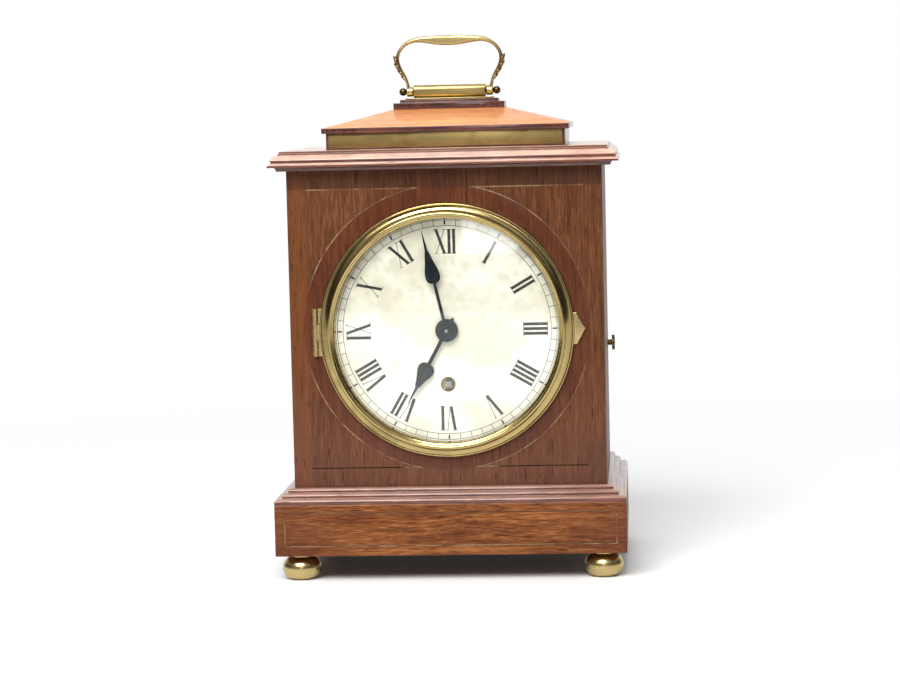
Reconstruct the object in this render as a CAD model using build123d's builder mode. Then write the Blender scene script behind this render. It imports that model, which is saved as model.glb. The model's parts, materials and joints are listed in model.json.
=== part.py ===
from build123d import *
from math import cos, sin, radians, degrees, atan2, acos, pi, sqrt
import os

os.makedirs("parts", exist_ok=True)

# A carrying bracket clock: wooden case, hinged bezel, spring-driven timepiece movement.
# Millimetres. X runs to the right seen from the front, Y to the back, Z up.
# The origin is on the surface the clock stands on, under the middle of its overall box.

# Case
case_width = 173.0
case_depth = 134.0
case_height = 175.2
board = 9.0                  # front and side panels
floor_board = 8.0
door_board = 8.0
base_overhang = 10.5         # plinth beyond the case, at the front and the sides
plinth_height = 28.5
plinth_board = 20.0
base_moulding_height = 8.4
stringing_width = 0.6
stringing_depth = 0.6

# Feet
foot_height = 14.3
foot_radius = 10.8
foot_base_radius = 6.5
foot_neck_radius = 6.0
foot_neck = 1.6
foot_stud_radius = 2.5
foot_stud = 12.0
foot_inset = 13.0            # foot centre from the plinth's outer faces
foot_belly = 0.46            # level of the widest part, as a share of the bun's height

# Top of the case
cornice_height = 10.8
cornice_overhang = 9.3
cornice_strip = 20.0         # width of the moulded strips that frame the cornice board
cornice_foot = 4.9           # overhangs of the cornice at its bottom and its top
cornice_top_edge = 3.2
frieze_height = 9.0
frieze_inset = 20.2
band_height = 7.8
band_length = 130.0
band_thickness = 1.0
band_lift = 1.0
eave_height = 3.0
eave_overhang = 2.3
roof_setback = 0.6
roof_rise = 9.4
roof_run = 37.1
cap_low_height = 3.6
cap_high_height = 1.8
cap_step = 3.5

# Handle
handle_plate_size = (50.0, 15.0, 0.9)
handle_block_size = (40.8, 11.0, 7.2)
handle_block_round = 2.6
pivot_lift = 3.6             # pivot axis above the handle plate
pivot_radius = 1.3
pivot_depth = 8.0
pivot_ball_radius = 2.2
pivot_neck = 0.8             # ball centre beyond the eye, as a share of the ball's radius
eye_radius = 2.8
eye_width = 3.9
eye_gap = 0.35               # between the eye and the block, and the eye and the ball
bail_radius = 1.25
bail_rise = 29.4             # pivot axis to the middle of the grip
bail_shoulder = (31.9, 17.6)
bail_top_corner = 24.6
bail_corner_radii = (9.0, 11.0)
grip_radius = 2.6
grip_half_length = 13.0

# Bezel, measured forwards from the front panel
dial_centre_drop = 1.4       # dial centre below the middle of the front panel
bezel_radius = 70.0
bezel_gap = 0.3
bezel_lip = 1.1
bezel_lip_height = 2.4
bezel_crest_radius = 64.2
bezel_crest_height = 8.0
bezel_ring_width = 2.7
bezel_sight_radius = 62.1
glass_radius = 63.4
glass_thickness = 1.6
glass_edge_height = 3.6
glass_rise = 4.0
glass_clearance = 0.05
bezel_hollow = 0.9           # the hollow's middle, outside the crest and above the lip
bezel_hollow_rise = 0.8
bezel_crest_wall = 1.0       # upright wall under the crest's round
sight_step = 0.3
glass_relief = 0.25          # between the glass's face and the sight edge
rebate_relief = 0.1
sight_ring_front_radius = 61.9
sight_ring_back_radius = 61.2
tab_reach = 6.2
tab_height = 17.6
tab_thickness = 1.3
tab_flat = 1.4               # straight part of the tab outside the bezel
tab_root = 2.0               # part of the tab that the bezel's round cuts away
tab_bevel = 0.4
hinge_height = 26.4
hinge_barrel_radius = 1.2
hinge_pin_radius = 0.6
hinge_leaf = 0.8
hinge_axis_out = 2.3         # hinge axis outside the bezel's edge
hinge_axis_proud = 1.3
hinge_knuckle_gap = 0.15
hinge_leaf_outside = 1.6     # fixed leaf beyond the hinge axis, away from and towards the dial
hinge_leaf_inside = 3.4
hinge_screw_in = 2.5
hinge_screw_share = 0.41     # hinge screws from the middle, as a share of the hinge's height

# Dial
dial_radius = 66.0
dial_thickness = 1.2
dial_rebate = 2.5
dial_opening_radius = 60.0
dial_fit = 0.2
dial_hole_radius = 3.4
winding_hole_radius = 4.2
winding_drop = 30.0          # winding arbor below the dial centre
dial_foot_radius = 1.5
dial_foot_tail = 2.4
dial_feet = ((-30.0, 18.0), (30.0, 18.0), (-26.0, -42.0), (26.0, -42.0))

# Fits
running = 0.05               # radial, between a pivot or pin and its hole
screw_radius = 0.8

# Movement frame, measured backwards from the front panel's face
plate_width = 76.0
plate_top = 40.0             # above the dial centre
plate_bottom = 54.0          # below the dial centre
plate_thickness = 2.2
plates_apart = 24.0
pillar_radius = 2.6
pillar_inset = 5.5
lug_size = (30.0, 9.0, 1.6)
lug_reach = 48.0             # middle of a lug from the clock's centre line
lug_level = 32.0

# Train, tooth counts and modules
great_teeth, intermediate_leaves, great_module = 84, 14, 0.50
intermediate_teeth, centre_leaves, intermediate_module = 72, 12, 0.45
centre_teeth, third_leaves, centre_module = 64, 8, 0.37
third_teeth, contrate_leaves, third_module = 60, 8, 0.36
contrate_teeth, escape_leaves, contrate_module = 60, 6, 1 / 3
cannon_leaves, minute_teeth, cannon_module = 12, 36, 0.50
minute_leaves, hour_teeth, hour_module = 10, 40, 0.48
contrate_rise = 21.0         # contrate arbor above the centre arbor
ratchet_teeth = 24
wheel_thickness = 1.2
wheel_addendum, wheel_dedendum = 0.9, 1.15
pinion_dedendum = 1.2
wheel_shares = (0.27, 0.12)  # half widths of a tooth at root and tip, in pitches
pinion_shares = (0.22, 0.08)

# Barrel
barrel_radius = 17.3
barrel_wall = 1.4
barrel_length = 14.6
barrel_cover_thickness = 0.9
mainspring_thickness = 0.45
mainspring_turns = 11
barrel_core_radius = 5.0
barrel_pivot_radius = 2.4
winding_square = 3.4
arbor_radius = 0.9
train_pivot_radius = 0.6
centre_arbor_radius = 1.0

# Back door and its latch
door_gap = 0.5
door_hinge_gap = 0.25
door_leaf_gap = 0.25         # between a leaf's inner edge and the knuckle
door_hinge_height = 26.0
door_hinge_leaf = (7.0, 0.9)
door_barrel_radius = 1.5
door_pin_radius = 0.8
door_axis_proud = 0.75
door_hinge_inset = 34.0
knob_depth = 112.0           # knob axis behind the front panel's face
knob_drop = 18.4             # knob axis below the dial centre
knob_radius = 4.45
knob_thickness = 1.7
knob_stem_radius = 1.65
knob_reach = 4.3

# Levels above the surface
plinth_top = foot_height + plinth_height
case_floor = plinth_top + base_moulding_height
case_top = case_floor + case_height
cornice_top = case_top + cornice_height
frieze_top = cornice_top + frieze_height
eave_top = frieze_top + eave_height
roof_top = eave_top + roof_rise
cap_low_top = roof_top + cap_low_height
cap_high_top = cap_low_top + cap_high_height
block_bottom = cap_high_top + handle_plate_size[2]
pivot_level = block_bottom + pivot_lift
dial_level = case_floor + case_height / 2 - dial_centre_drop
winding_level = dial_level - winding_drop

# Depths, front to back
door_barrel_proud = door_axis_proud + door_barrel_radius
overall_depth = base_overhang + case_depth + door_barrel_proud
case_front = -overall_depth / 2 + base_overhang
case_back = case_front + case_depth
case_middle = (case_front + case_back) / 2
panel_back = case_front + board
plate_front = panel_back + lug_size[2]
inner_front = plate_front + plate_thickness
inner_back = inner_front + plates_apart
plate_back = inner_back + plate_thickness
door_front = case_back - door_board

half_case = case_width / 2
half_inside = half_case - board
half_plinth = half_case + base_overhang


def facing_front(y):
    """Plane at depth y that looks out of the front: its first axis is X, its second Z."""
    return Plane.XZ.offset(-y)


def round_face(centre, y, radius):
    """A round face at depth y."""
    with BuildSketch(facing_front(y)) as face:
        with Locations(centre):
            Circle(radius)
    return face.sketch


def turn(centre, *steps):
    """Add round steps along Y, each given as (front depth, back depth, radius)."""
    for near, far, radius in steps:
        extrude(round_face(centre, far, radius), amount=far - near)


def bore(centre, near, far, radius):
    """Cut a round hole along Y."""
    extrude(round_face(centre, far, radius), amount=far - near, mode=Mode.SUBTRACT)


def tooth_outline(teeth, root, tip, shares, phase):
    """Corners of a toothed wheel; a tooth stands at the phase angle, in degrees."""
    corners = []
    for tooth in range(teeth):
        for radius, share in ((root, -shares[0]), (tip, -shares[1]), (tip, shares[1]), (root, shares[0])):
            angle = radians(phase + 360 * (tooth + share) / teeth)
            corners.append((radius * cos(angle), radius * sin(angle)))
    return corners


def toothed_face(centre, y, teeth, module, shares, dedendum, phase):
    """A toothed face at depth y for a wheel or pinion that turns about Y."""
    pitch_radius = module * teeth / 2
    root = pitch_radius - module * dedendum
    tip = pitch_radius + module * wheel_addendum
    with BuildSketch(facing_front(y)) as face:
        with BuildLine():
            Polyline(*[(x + centre[0], z + centre[1])
                       for x, z in tooth_outline(teeth, root, tip, shares, phase)], close=True)
        make_face()
    return face.sketch


def cut_wheel(centre, near, teeth, module, phase, spokes, hub):
    """Add a toothed wheel of one thickness, with windows that leave a rim and spokes."""
    rim = module * teeth / 2 - 3.2 * module
    far = near + wheel_thickness
    extrude(toothed_face(centre, far, teeth, module, wheel_shares, wheel_dedendum, phase),
            amount=wheel_thickness)
    with BuildSketch(facing_front(far)) as windows:
        with Locations(centre):
            Circle(rim)
            Circle(hub, mode=Mode.SUBTRACT)
            with PolarLocations(0, spokes):
                Rectangle(rim, 0.12 * rim, align=(Align.MIN, Align.CENTER), mode=Mode.SUBTRACT)
    extrude(windows.sketch, amount=wheel_thickness, mode=Mode.SUBTRACT)


def cut_pinion(centre, near, far, leaves, module, phase):
    """Add a pinion between two depths."""
    extrude(toothed_face(centre, far, leaves, module, pinion_shares, pinion_dedendum, phase),
            amount=far - near)


def direction(start, end):
    """Angle of the line from start to end, in degrees."""
    return degrees(atan2(end[1] - start[1], end[0] - start[0]))


def meshing_phase(teeth, phase, towards, other_teeth):
    """Phase of the wheel that meshes in the given direction with a wheel of known phase."""
    ahead = ((towards - phase) * teeth / 360) % 1
    return towards + 180 + (ahead + 0.5) * 360 / other_teeth


def two_circle_point(a, reach_a, b, reach_b, side):
    """The point at reach_a from a and reach_b from b, to one side of the line from a to b."""
    span = sqrt((b[0] - a[0]) ** 2 + (b[1] - a[1]) ** 2)
    along = (reach_a ** 2 - reach_b ** 2 + span ** 2) / (2 * span)
    across = side * sqrt(reach_a ** 2 - along ** 2)
    ux, uz = (b[0] - a[0]) / span, (b[1] - a[1]) / span
    return (a[0] + along * ux - across * uz, a[1] + along * uz + across * ux)


# Front panel with its dial rebate, hinge bed and stringing grooves
inlay_side = 10.2            # outer line of the stringing from the case's sides
inlay_half_height = 77.3
inlay_arc_radius = 78.5
panel_middle = case_floor + case_height / 2
hinge_x = -(bezel_radius + hinge_axis_out)
hinge_y = case_front - hinge_axis_proud
hinge_leaf_left, hinge_leaf_right = hinge_x - hinge_leaf_outside, hinge_x + hinge_leaf_inside
screw_length = 6.0
hinge_screw_points = [(hinge_x + hinge_screw_in, dial_level + side * hinge_height * hinge_screw_share)
                      for side in (-1, 1)]
lug_points = [(x * lug_reach, dial_level + z * lug_level) for x in (-1, 1) for z in (-1, 1)]
lug_screw_out, lug_screw_in = 10.0, 12.5     # from the middle of a lug
dial_centre = (0, dial_level)


def spandrel_band(side, rise):
    """The closed line of stringing in one corner of the front panel."""
    outer = half_case - inlay_side
    near = sqrt(inlay_arc_radius ** 2 - inlay_half_height ** 2)
    low = sqrt(inlay_arc_radius ** 2 - outer ** 2)
    slant = inlay_arc_radius / sqrt(2)
    level = panel_middle + rise * inlay_half_height
    with BuildSketch(facing_front(case_front + stringing_depth)) as band:
        with BuildLine():
            Polyline((side * near, level), (side * outer, level),
                     (side * outer, panel_middle + rise * low))
            ThreePointArc((side * outer, panel_middle + rise * low),
                          (side * slant, panel_middle + rise * slant), (side * near, level))
        make_face()
        offset(amount=-stringing_width, kind=Kind.INTERSECTION, mode=Mode.SUBTRACT)
    return band.sketch


panel_bands = [spandrel_band(side, rise) for side in (-1, 1) for rise in (-1, 1)]

with BuildPart() as front_panel:
    with BuildSketch(facing_front(panel_back)):
        with Locations((0, panel_middle)):
            Rectangle(case_width, case_height)
    extrude(amount=board)
    bore(dial_centre, case_front, panel_back, dial_opening_radius)
    bore(dial_centre, case_front, case_front + dial_rebate, dial_radius + dial_fit)
    with BuildSketch(facing_front(case_front + hinge_leaf)):
        with Locations(((hinge_leaf_left + hinge_leaf_right) / 2, dial_level)):
            Rectangle(hinge_leaf_right - hinge_leaf_left, hinge_height)
    extrude(amount=hinge_leaf, mode=Mode.SUBTRACT)
    for point in hinge_screw_points:
        bore(point, case_front, case_front + screw_length, screw_radius)
    for x, z in lug_points:
        outwards = lug_screw_out if x > 0 else -lug_screw_out
        bore((x + outwards, z), panel_back - screw_length, panel_back, screw_radius)
    for band in panel_bands:
        extrude(band, amount=stringing_depth, mode=Mode.SUBTRACT)
front_panel.part.label = "front_panel"
export_step(front_panel.part, "parts/front_panel.step")


# Side panels; the right one carries the latch spindle, the left one the back door
knob_y = case_front + knob_depth
knob_level = dial_level - knob_drop
door_axis_x = -half_inside + door_hinge_gap / 2
door_axis_y = case_back + door_axis_proud
door_bottom = case_floor + floor_board + door_gap
door_top = case_top - door_gap
door_hinge_levels = (door_bottom + door_hinge_inset, door_top - door_hinge_inset)
door_leaf_width, door_leaf = door_hinge_leaf
door_leaf_start = door_barrel_radius + door_leaf_gap
door_leaf_middle = door_leaf_start + door_leaf_width / 2
side_depth = case_back - panel_back


def door_hinge_bed(first, last):
    """Sink the beds of the two door hinges between two distances from the hinge axis."""
    with BuildSketch(facing_front(case_back)) as beds:
        for level in door_hinge_levels:
            with Locations((door_axis_x + (first + last) / 2, level)):
                Rectangle(last - first, door_hinge_height)
    extrude(beds.sketch, amount=door_leaf, mode=Mode.SUBTRACT)


def door_screw_points(side):
    return [(door_axis_x + side * door_leaf_middle, level + rise * door_hinge_height / 4)
            for level in door_hinge_levels for rise in (-1, 1)]


for name, side in (("side_panel_left", -1), ("side_panel_right", 1)):
    with BuildPart() as side_panel:
        with BuildSketch(Plane.XY.offset(case_floor)):
            with Locations((side * (half_case - board / 2), (panel_back + case_back) / 2)):
                Rectangle(board, side_depth)
        extrude(amount=case_height)
        if side < 0:
            door_hinge_bed(-door_leaf_start - door_leaf_width, door_hinge_gap)
            for point in door_screw_points(-1):
                bore(point, case_back - screw_length, case_back, screw_radius)
        else:
            with BuildSketch(Plane.YZ.offset(half_inside)):
                with Locations((knob_y, knob_level)):
                    Circle(knob_stem_radius + running)
            extrude(amount=board, mode=Mode.SUBTRACT)
    side_panel.part.label = name
    export_step(side_panel.part, f"parts/{name}.step")


with BuildPart() as case_bottom_board:
    with BuildSketch(Plane.XY.offset(case_floor)):
        with Locations((0, (panel_back + case_back) / 2)):
            Rectangle(2 * half_inside, side_depth)
    extrude(amount=floor_board)
case_bottom_board.part.label = "case_bottom_board"
export_step(case_bottom_board.part, "parts/case_bottom_board.step")


# Moulded boards under and over the case, each with a shaped edge at the front and the sides
def edge_plane(bottom):
    """Plane across the left edge of such a board, at the back: outwards, then upwards."""
    return Plane((-half_case, case_back, bottom), x_dir=(-1, 0, 0), z_dir=(0, 1, 0))


def run_round(edge, bottom, height):
    """Run an edge section along the left side, the front and the right side of a board."""
    with BuildLine() as route:
        Polyline((-half_case, case_back, bottom), (-half_case, case_front, bottom),
                 (half_case, case_front, bottom), (half_case, case_back, bottom))
    sweep(edge, path=route.wire(), transition=Transition.RIGHT)
    with BuildSketch(Plane.XY.offset(bottom)) as middle:
        with Locations((0, case_back)):
            Rectangle(case_width - 2 * cornice_strip, case_depth - cornice_strip,
                      align=(Align.CENTER, Align.MAX))
    extrude(middle.sketch, amount=height)


reed_first, reed_second = (3.3, 2.6), (3.1, 2.6)     # each reed's step outwards and down
reed_last = (base_overhang - reed_first[0] - reed_second[0],
             base_moulding_height - reed_first[1] - reed_second[1])
reed_round = 1.9

with BuildPart() as base_moulding:
    with BuildSketch(edge_plane(plinth_top)) as reeds:
        with BuildLine():
            out, up = 0, base_moulding_height
            Polyline((base_overhang, 0), (-cornice_strip, 0), (-cornice_strip, up), (out, up))
            for step, drop in (reed_first, reed_second, reed_last):
                Line((out, up), (out + step - reed_round, up))
                RadiusArc((out + step - reed_round, up), (out + step, up - reed_round), reed_round)
                Line((out + step, up - reed_round), (out + step, up - drop))
                out, up = out + step, up - drop
        make_face()
    run_round(reeds.sketch, plinth_top, base_moulding_height)
base_moulding.part.label = "base_moulding"
export_step(base_moulding.part, "parts/base_moulding.step")


fillet_low, fillet_high = 2.2, 3.3                   # flat under the cornice's nose
nose_round = 1.2
nose_top = fillet_high + nose_round
step_back, step_top = 2.0, 5.4                       # quirk above the nose
bead_back, bead_top = 1.5, 6.0
hollow_top, hollow_radius = 8.8, 5.0
hollow_out = cornice_top_edge + 1.4
cap_out, cap_top = cornice_top_edge + 0.6, 9.6
foot_flat, fillet_in = 0.7, 0.4
with BuildPart() as cornice:
    with BuildSketch(edge_plane(case_top)) as moulding:
        with BuildLine():
            Polyline((cornice_top_edge, cornice_height), (-cornice_strip, cornice_height),
                     (-cornice_strip, 0), (cornice_foot, 0), (cornice_foot, foot_flat))
            TangentArc((cornice_foot, foot_flat), (cornice_overhang - fillet_in, fillet_low),
                       tangent=(0.35, 1))
            Polyline((cornice_overhang - fillet_in, fillet_low), (cornice_overhang, fillet_low),
                     (cornice_overhang, fillet_high))
            RadiusArc((cornice_overhang, fillet_high), (cornice_overhang - nose_round, nose_top),
                      nose_round)
            Polyline((cornice_overhang - nose_round, nose_top), (cornice_overhang - step_back, nose_top),
                     (cornice_overhang - step_back, step_top), (cornice_overhang - bead_back, step_top),
                     (cornice_overhang - bead_back, bead_top))
            RadiusArc((cornice_overhang - bead_back, bead_top), (hollow_out, hollow_top), -hollow_radius)
            Polyline((hollow_out, hollow_top), (cap_out, hollow_top), (cap_out, cap_top),
                     (cornice_top_edge, cap_top), (cornice_top_edge, cornice_height))
        make_face()
    run_round(moulding.sketch, case_top, cornice_height)
cornice.part.label = "cornice"
export_step(cornice.part, "parts/cornice.step")


# Plinth boards, butted at the corners, with a rectangle of stringing in the front one
plinth_front_face = case_front - base_overhang
plinth_depth = case_back - plinth_front_face
plinth_middle = (plinth_front_face + case_back) / 2
plinth_band_side, plinth_band_top, plinth_band_bottom = 5.3, 4.7, 5.2
foot_points = [(side * (half_plinth - foot_inset), y) for side in (-1, 1)
               for y in (plinth_front_face + foot_inset, case_back - foot_inset)]

with BuildSketch(facing_front(plinth_front_face + stringing_depth)) as plinth_band:
    with Locations((0, foot_height + (plinth_height + plinth_band_bottom - plinth_band_top) / 2)):
        Rectangle(2 * (half_plinth - plinth_band_side),
                  plinth_height - plinth_band_top - plinth_band_bottom)
    offset(amount=-stringing_width, kind=Kind.INTERSECTION, mode=Mode.SUBTRACT)


def foot_stud_holes():
    with BuildSketch(Plane.XY.offset(foot_height)) as holes:
        with Locations(*foot_points):
            Circle(foot_stud_radius)
    extrude(holes.sketch, amount=foot_stud, mode=Mode.SUBTRACT)


with BuildPart() as plinth_front:
    with BuildSketch(Plane.XY.offset(foot_height)):
        with Locations((0, plinth_front_face + plinth_board / 2)):
            Rectangle(2 * half_plinth, plinth_board)
    extrude(amount=plinth_height)
    extrude(plinth_band.sketch, amount=stringing_depth, mode=Mode.SUBTRACT)
    foot_stud_holes()
plinth_front.part.label = "plinth_front"
export_step(plinth_front.part, "parts/plinth_front.step")

with BuildPart() as plinth_back:
    with BuildSketch(Plane.XY.offset(foot_height)):
        with Locations((0, case_back - plinth_board / 2)):
            Rectangle(2 * half_plinth, plinth_board)
    extrude(amount=plinth_height)
    foot_stud_holes()
plinth_back.part.label = "plinth_back"
export_step(plinth_back.part, "parts/plinth_back.step")

with BuildPart() as plinth_sides:
    with BuildSketch(Plane.XY.offset(foot_height)):
        for side in (-1, 1):
            with Locations((side * (half_plinth - plinth_board / 2), plinth_middle)):
                Rectangle(plinth_board, plinth_depth - 2 * plinth_board)
    extrude(amount=plinth_height)
plinth_sides.part.label = "plinth_sides"
export_step(plinth_sides.part, "parts/plinth_sides.step")


with BuildPart() as stringing:
    for band in panel_bands:
        extrude(band, amount=stringing_depth)
    extrude(plinth_band.sketch, amount=stringing_depth)
stringing.part.label = "stringing"
export_step(stringing.part, "parts/stringing.step")


# Turned bun feet with a stud each
with BuildPart() as bun_feet:
    for x, y in foot_points:
        with BuildSketch(Plane((x, y, 0), x_dir=(1, 0, 0), z_dir=(0, -1, 0))) as bun:
            with BuildLine():
                bun_height = foot_height - foot_neck
                Line((0, 0), (foot_base_radius, 0))
                ThreePointArc((foot_base_radius, 0), (foot_radius, bun_height * foot_belly),
                              (foot_neck_radius, bun_height))
                Polyline((foot_neck_radius, bun_height), (foot_neck_radius, foot_height),
                         (foot_stud_radius, foot_height), (foot_stud_radius, foot_height + foot_stud),
                         (0, foot_height + foot_stud), (0, 0))
            make_face()
        revolve(bun.sketch, axis=Axis((x, y, 0), (0, 0, 1)))
bun_feet.part.label = "bun_feet"
export_step(bun_feet.part, "parts/bun_feet.step")


# Frieze block with its brass band, eave board, hipped roof and top plinth
half_frieze = half_case - frieze_inset
frieze_depth = case_depth - 2 * frieze_inset
frieze_front = case_middle - frieze_depth / 2
half_eave = half_frieze + eave_overhang
eave_depth = frieze_depth + 2 * eave_overhang
half_cap = half_eave - roof_run
cap_depth = eave_depth - 2 * roof_run


def top_slab(width, depth, bottom, height):
    """A rectangular slab on the clock's top, centred on the case."""
    with BuildSketch(Plane.XY.offset(bottom)) as outline:
        with Locations((0, case_middle)):
            Rectangle(width, depth)
    extrude(outline.sketch, amount=height)


with BuildSketch(facing_front(frieze_front + band_thickness)) as band_face:
    with Locations((0, cornice_top + band_lift + band_height / 2)):
        Rectangle(band_length, band_height)

with BuildPart() as frieze_block:
    top_slab(2 * half_frieze, frieze_depth, cornice_top, frieze_height)
    extrude(band_face.sketch, amount=band_thickness, mode=Mode.SUBTRACT)
frieze_block.part.label = "frieze_block"
export_step(frieze_block.part, "parts/frieze_block.step")

with BuildPart() as frieze_band:
    extrude(band_face.sketch, amount=band_thickness)
frieze_band.part.label = "frieze_band"
export_step(frieze_band.part, "parts/frieze_band.step")

with BuildPart() as roof_eave:
    top_slab(2 * half_eave, eave_depth, frieze_top, eave_height)
roof_eave.part.label = "roof_eave"
export_step(roof_eave.part, "parts/roof_eave.step")

with BuildPart() as roof:
    for level, shrink in ((eave_top, roof_setback), (roof_top, roof_run)):
        with BuildSketch(Plane.XY.offset(level)):
            with Locations((0, case_middle)):
                Rectangle(2 * (half_eave - shrink), eave_depth - 2 * shrink)
    loft(ruled=True)
roof.part.label = "roof"
export_step(roof.part, "parts/roof.step")

with BuildPart() as top_plinth:
    top_slab(2 * half_cap, cap_depth, roof_top, cap_low_height)
    top_slab(2 * (half_cap - cap_step), cap_depth - 2 * cap_step, cap_low_top, cap_high_height)
top_plinth.part.label = "top_plinth"
export_step(top_plinth.part, "parts/top_plinth.step")


# Handle: base with a block that holds two pivots, and the bail that swings on them
block_length, block_depth, block_height = handle_block_size
eye_inner = block_length / 2 + eye_gap
eye_outer = eye_inner + eye_width
ball_centre = eye_outer + eye_gap + pivot_ball_radius * pivot_neck


def along_x(start, end, radius, mode=Mode.ADD):
    """A round bar along X on the handle's pivot axis."""
    with BuildSketch(Plane.YZ.offset(start)) as section:
        with Locations((case_middle, pivot_level)):
            Circle(radius)
    extrude(section.sketch, amount=end - start, mode=mode)


with BuildPart() as handle_base:
    plate_length, plate_depth, plate_height = handle_plate_size
    top_slab(plate_length, plate_depth, cap_high_top, plate_height)
    with BuildSketch(Plane.YZ.offset(-block_length / 2)) as block_end:
        with Locations((case_middle, block_bottom)):
            Rectangle(block_depth, block_height, align=(Align.CENTER, Align.MIN))
        fillet(block_end.vertices().group_by(Axis.Z)[-1], handle_block_round)
    extrude(block_end.sketch, amount=block_length)
    for start in (-block_length / 2, block_length / 2 - pivot_depth):
        along_x(start, start + pivot_depth, pivot_radius, mode=Mode.SUBTRACT)
handle_base.part.label = "handle_base"
export_step(handle_base.part, "parts/handle_base.step")

with BuildPart() as handle_pivots:
    pin_start = block_length / 2 - pivot_depth
    pin_end = ball_centre - sqrt(pivot_ball_radius ** 2 - pivot_radius ** 2)
    ball_end = ball_centre + pivot_ball_radius
    with BuildSketch(Plane((0, case_middle, pivot_level), x_dir=(1, 0, 0), z_dir=(0, -1, 0))) as pin:
        with BuildLine():
            Polyline((ball_end, 0), (pin_start, 0), (pin_start, pivot_radius), (pin_end, pivot_radius))
            ThreePointArc((pin_end, pivot_radius), (ball_centre, pivot_ball_radius), (ball_end, 0))
        make_face()
    revolve(pin.sketch, axis=Axis((0, case_middle, pivot_level), (1, 0, 0)))
    mirror(about=Plane.YZ)
handle_pivots.part.label = "handle_pivots"
export_step(handle_pivots.part, "parts/handle_pivots.step")

with BuildPart() as handle:
    upright = Plane.XZ.offset(-case_middle)
    eye_x = (eye_inner + eye_outer) / 2
    shoulder_x, shoulder_rise = bail_shoulder
    grip_level = pivot_level + bail_rise
    with BuildLine(upright) as route:
        FilletPolyline((-eye_x, pivot_level + pivot_radius), (-shoulder_x, pivot_level + shoulder_rise),
                       (-bail_top_corner, grip_level), (bail_top_corner, grip_level),
                       (shoulder_x, pivot_level + shoulder_rise), (eye_x, pivot_level + pivot_radius),
                       radius=bail_corner_radii + bail_corner_radii[::-1])
    bail = route.wire()
    with BuildSketch(Plane(bail @ 0, z_dir=bail % 0)) as wire_section:
        Circle(bail_radius)
    sweep(wire_section.sketch, path=bail)
    with BuildSketch(upright) as grip:
        with BuildLine():
            Spline((-grip_half_length, grip_level + bail_radius), (0, grip_level + grip_radius),
                   (grip_half_length, grip_level + bail_radius), tangents=((1, 0), (1, 0)))
            Polyline((grip_half_length, grip_level + bail_radius), (grip_half_length, grip_level),
                     (-grip_half_length, grip_level), (-grip_half_length, grip_level + bail_radius))
        make_face()
    revolve(grip.sketch, axis=Axis((0, case_middle, grip_level), (1, 0, 0)))
    for start in (-eye_outer, eye_inner):
        along_x(start, start + eye_width, eye_radius)
        along_x(start, start + eye_width, pivot_radius + running, mode=Mode.SUBTRACT)
handle.part.label = "handle"
export_step(handle.part, "parts/handle.step")


# Bezel: brass ring, domed glass held by a sight ring, thumb tab and hinge leaf
def bezel_plane():
    """Half section of the bezel: outwards from the dial centre, then forwards from the panel."""
    return Plane((0, case_front, dial_level), x_dir=(1, 0, 0), z_dir=(0, 0, -1))


bezel_axis = Axis((0, case_front, dial_level), (0, 1, 0))
ring_outer = bezel_crest_radius + bezel_ring_width / 2
ring_inner = bezel_crest_radius - bezel_ring_width / 2
ring_round = bezel_ring_width / 2
glass_front = glass_edge_height + glass_thickness
lip_inner = bezel_radius - bezel_lip
rebate_radius = glass_radius + glass_clearance
lip_middle = bezel_lip_height - bezel_lip / 2
crest_foot = bezel_crest_height - ring_round - bezel_crest_wall
crest_side = bezel_crest_height - ring_round

with BuildPart() as bezel_ring:
    with BuildSketch(bezel_plane()) as ring:
        with BuildLine():
            Polyline((rebate_radius, bezel_gap), (bezel_radius, bezel_gap),
                     (bezel_radius, lip_middle))
            ThreePointArc((bezel_radius, lip_middle), (bezel_radius - bezel_lip / 2, bezel_lip_height),
                          (lip_inner, lip_middle))
            ThreePointArc((lip_inner, lip_middle),
                          (ring_outer + bezel_hollow, bezel_lip_height + bezel_hollow_rise),
                          (ring_outer, crest_foot))
            Line((ring_outer, crest_foot), (ring_outer, crest_side))
            ThreePointArc((ring_outer, crest_side), (bezel_crest_radius, bezel_crest_height),
                          (ring_inner, crest_side))
            Polyline((ring_inner, crest_side), (bezel_sight_radius, crest_side - sight_step),
                     (bezel_sight_radius, glass_front + glass_relief),
                     (rebate_radius, glass_front + rebate_relief), (rebate_radius, bezel_gap))
        make_face()
    revolve(ring.sketch, axis=bezel_axis)
bezel_ring.part.label = "bezel_ring"
export_step(bezel_ring.part, "parts/bezel_ring.step")

with BuildPart() as glass:
    dome = (glass_radius ** 2 + glass_rise ** 2) / (2 * glass_rise)
    sweep_angle = degrees(acos((dome - glass_rise) / dome))
    with BuildSketch(bezel_plane()) as pane:
        with BuildLine():
            for height in (glass_edge_height, glass_front):
                CenterArc((0, height + glass_rise - dome), dome, 90, -sweep_angle)
            Line((0, glass_edge_height + glass_rise), (0, glass_front + glass_rise))
            Line((glass_radius, glass_edge_height), (glass_radius, glass_front))
        make_face()
    revolve(pane.sketch, axis=bezel_axis)
glass.part.label = "glass"
export_step(glass.part, "parts/glass.step")

with BuildPart() as sight_ring:
    with BuildSketch(bezel_plane()) as slope:
        with BuildLine():
            Polyline((sight_ring_front_radius, glass_edge_height), (sight_ring_back_radius, bezel_gap),
                     (glass_radius, bezel_gap), (glass_radius, glass_edge_height), close=True)
        make_face()
    revolve(slope.sketch, axis=bezel_axis)
sight_ring.part.label = "sight_ring"
export_step(sight_ring.part, "parts/sight_ring.step")

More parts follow.
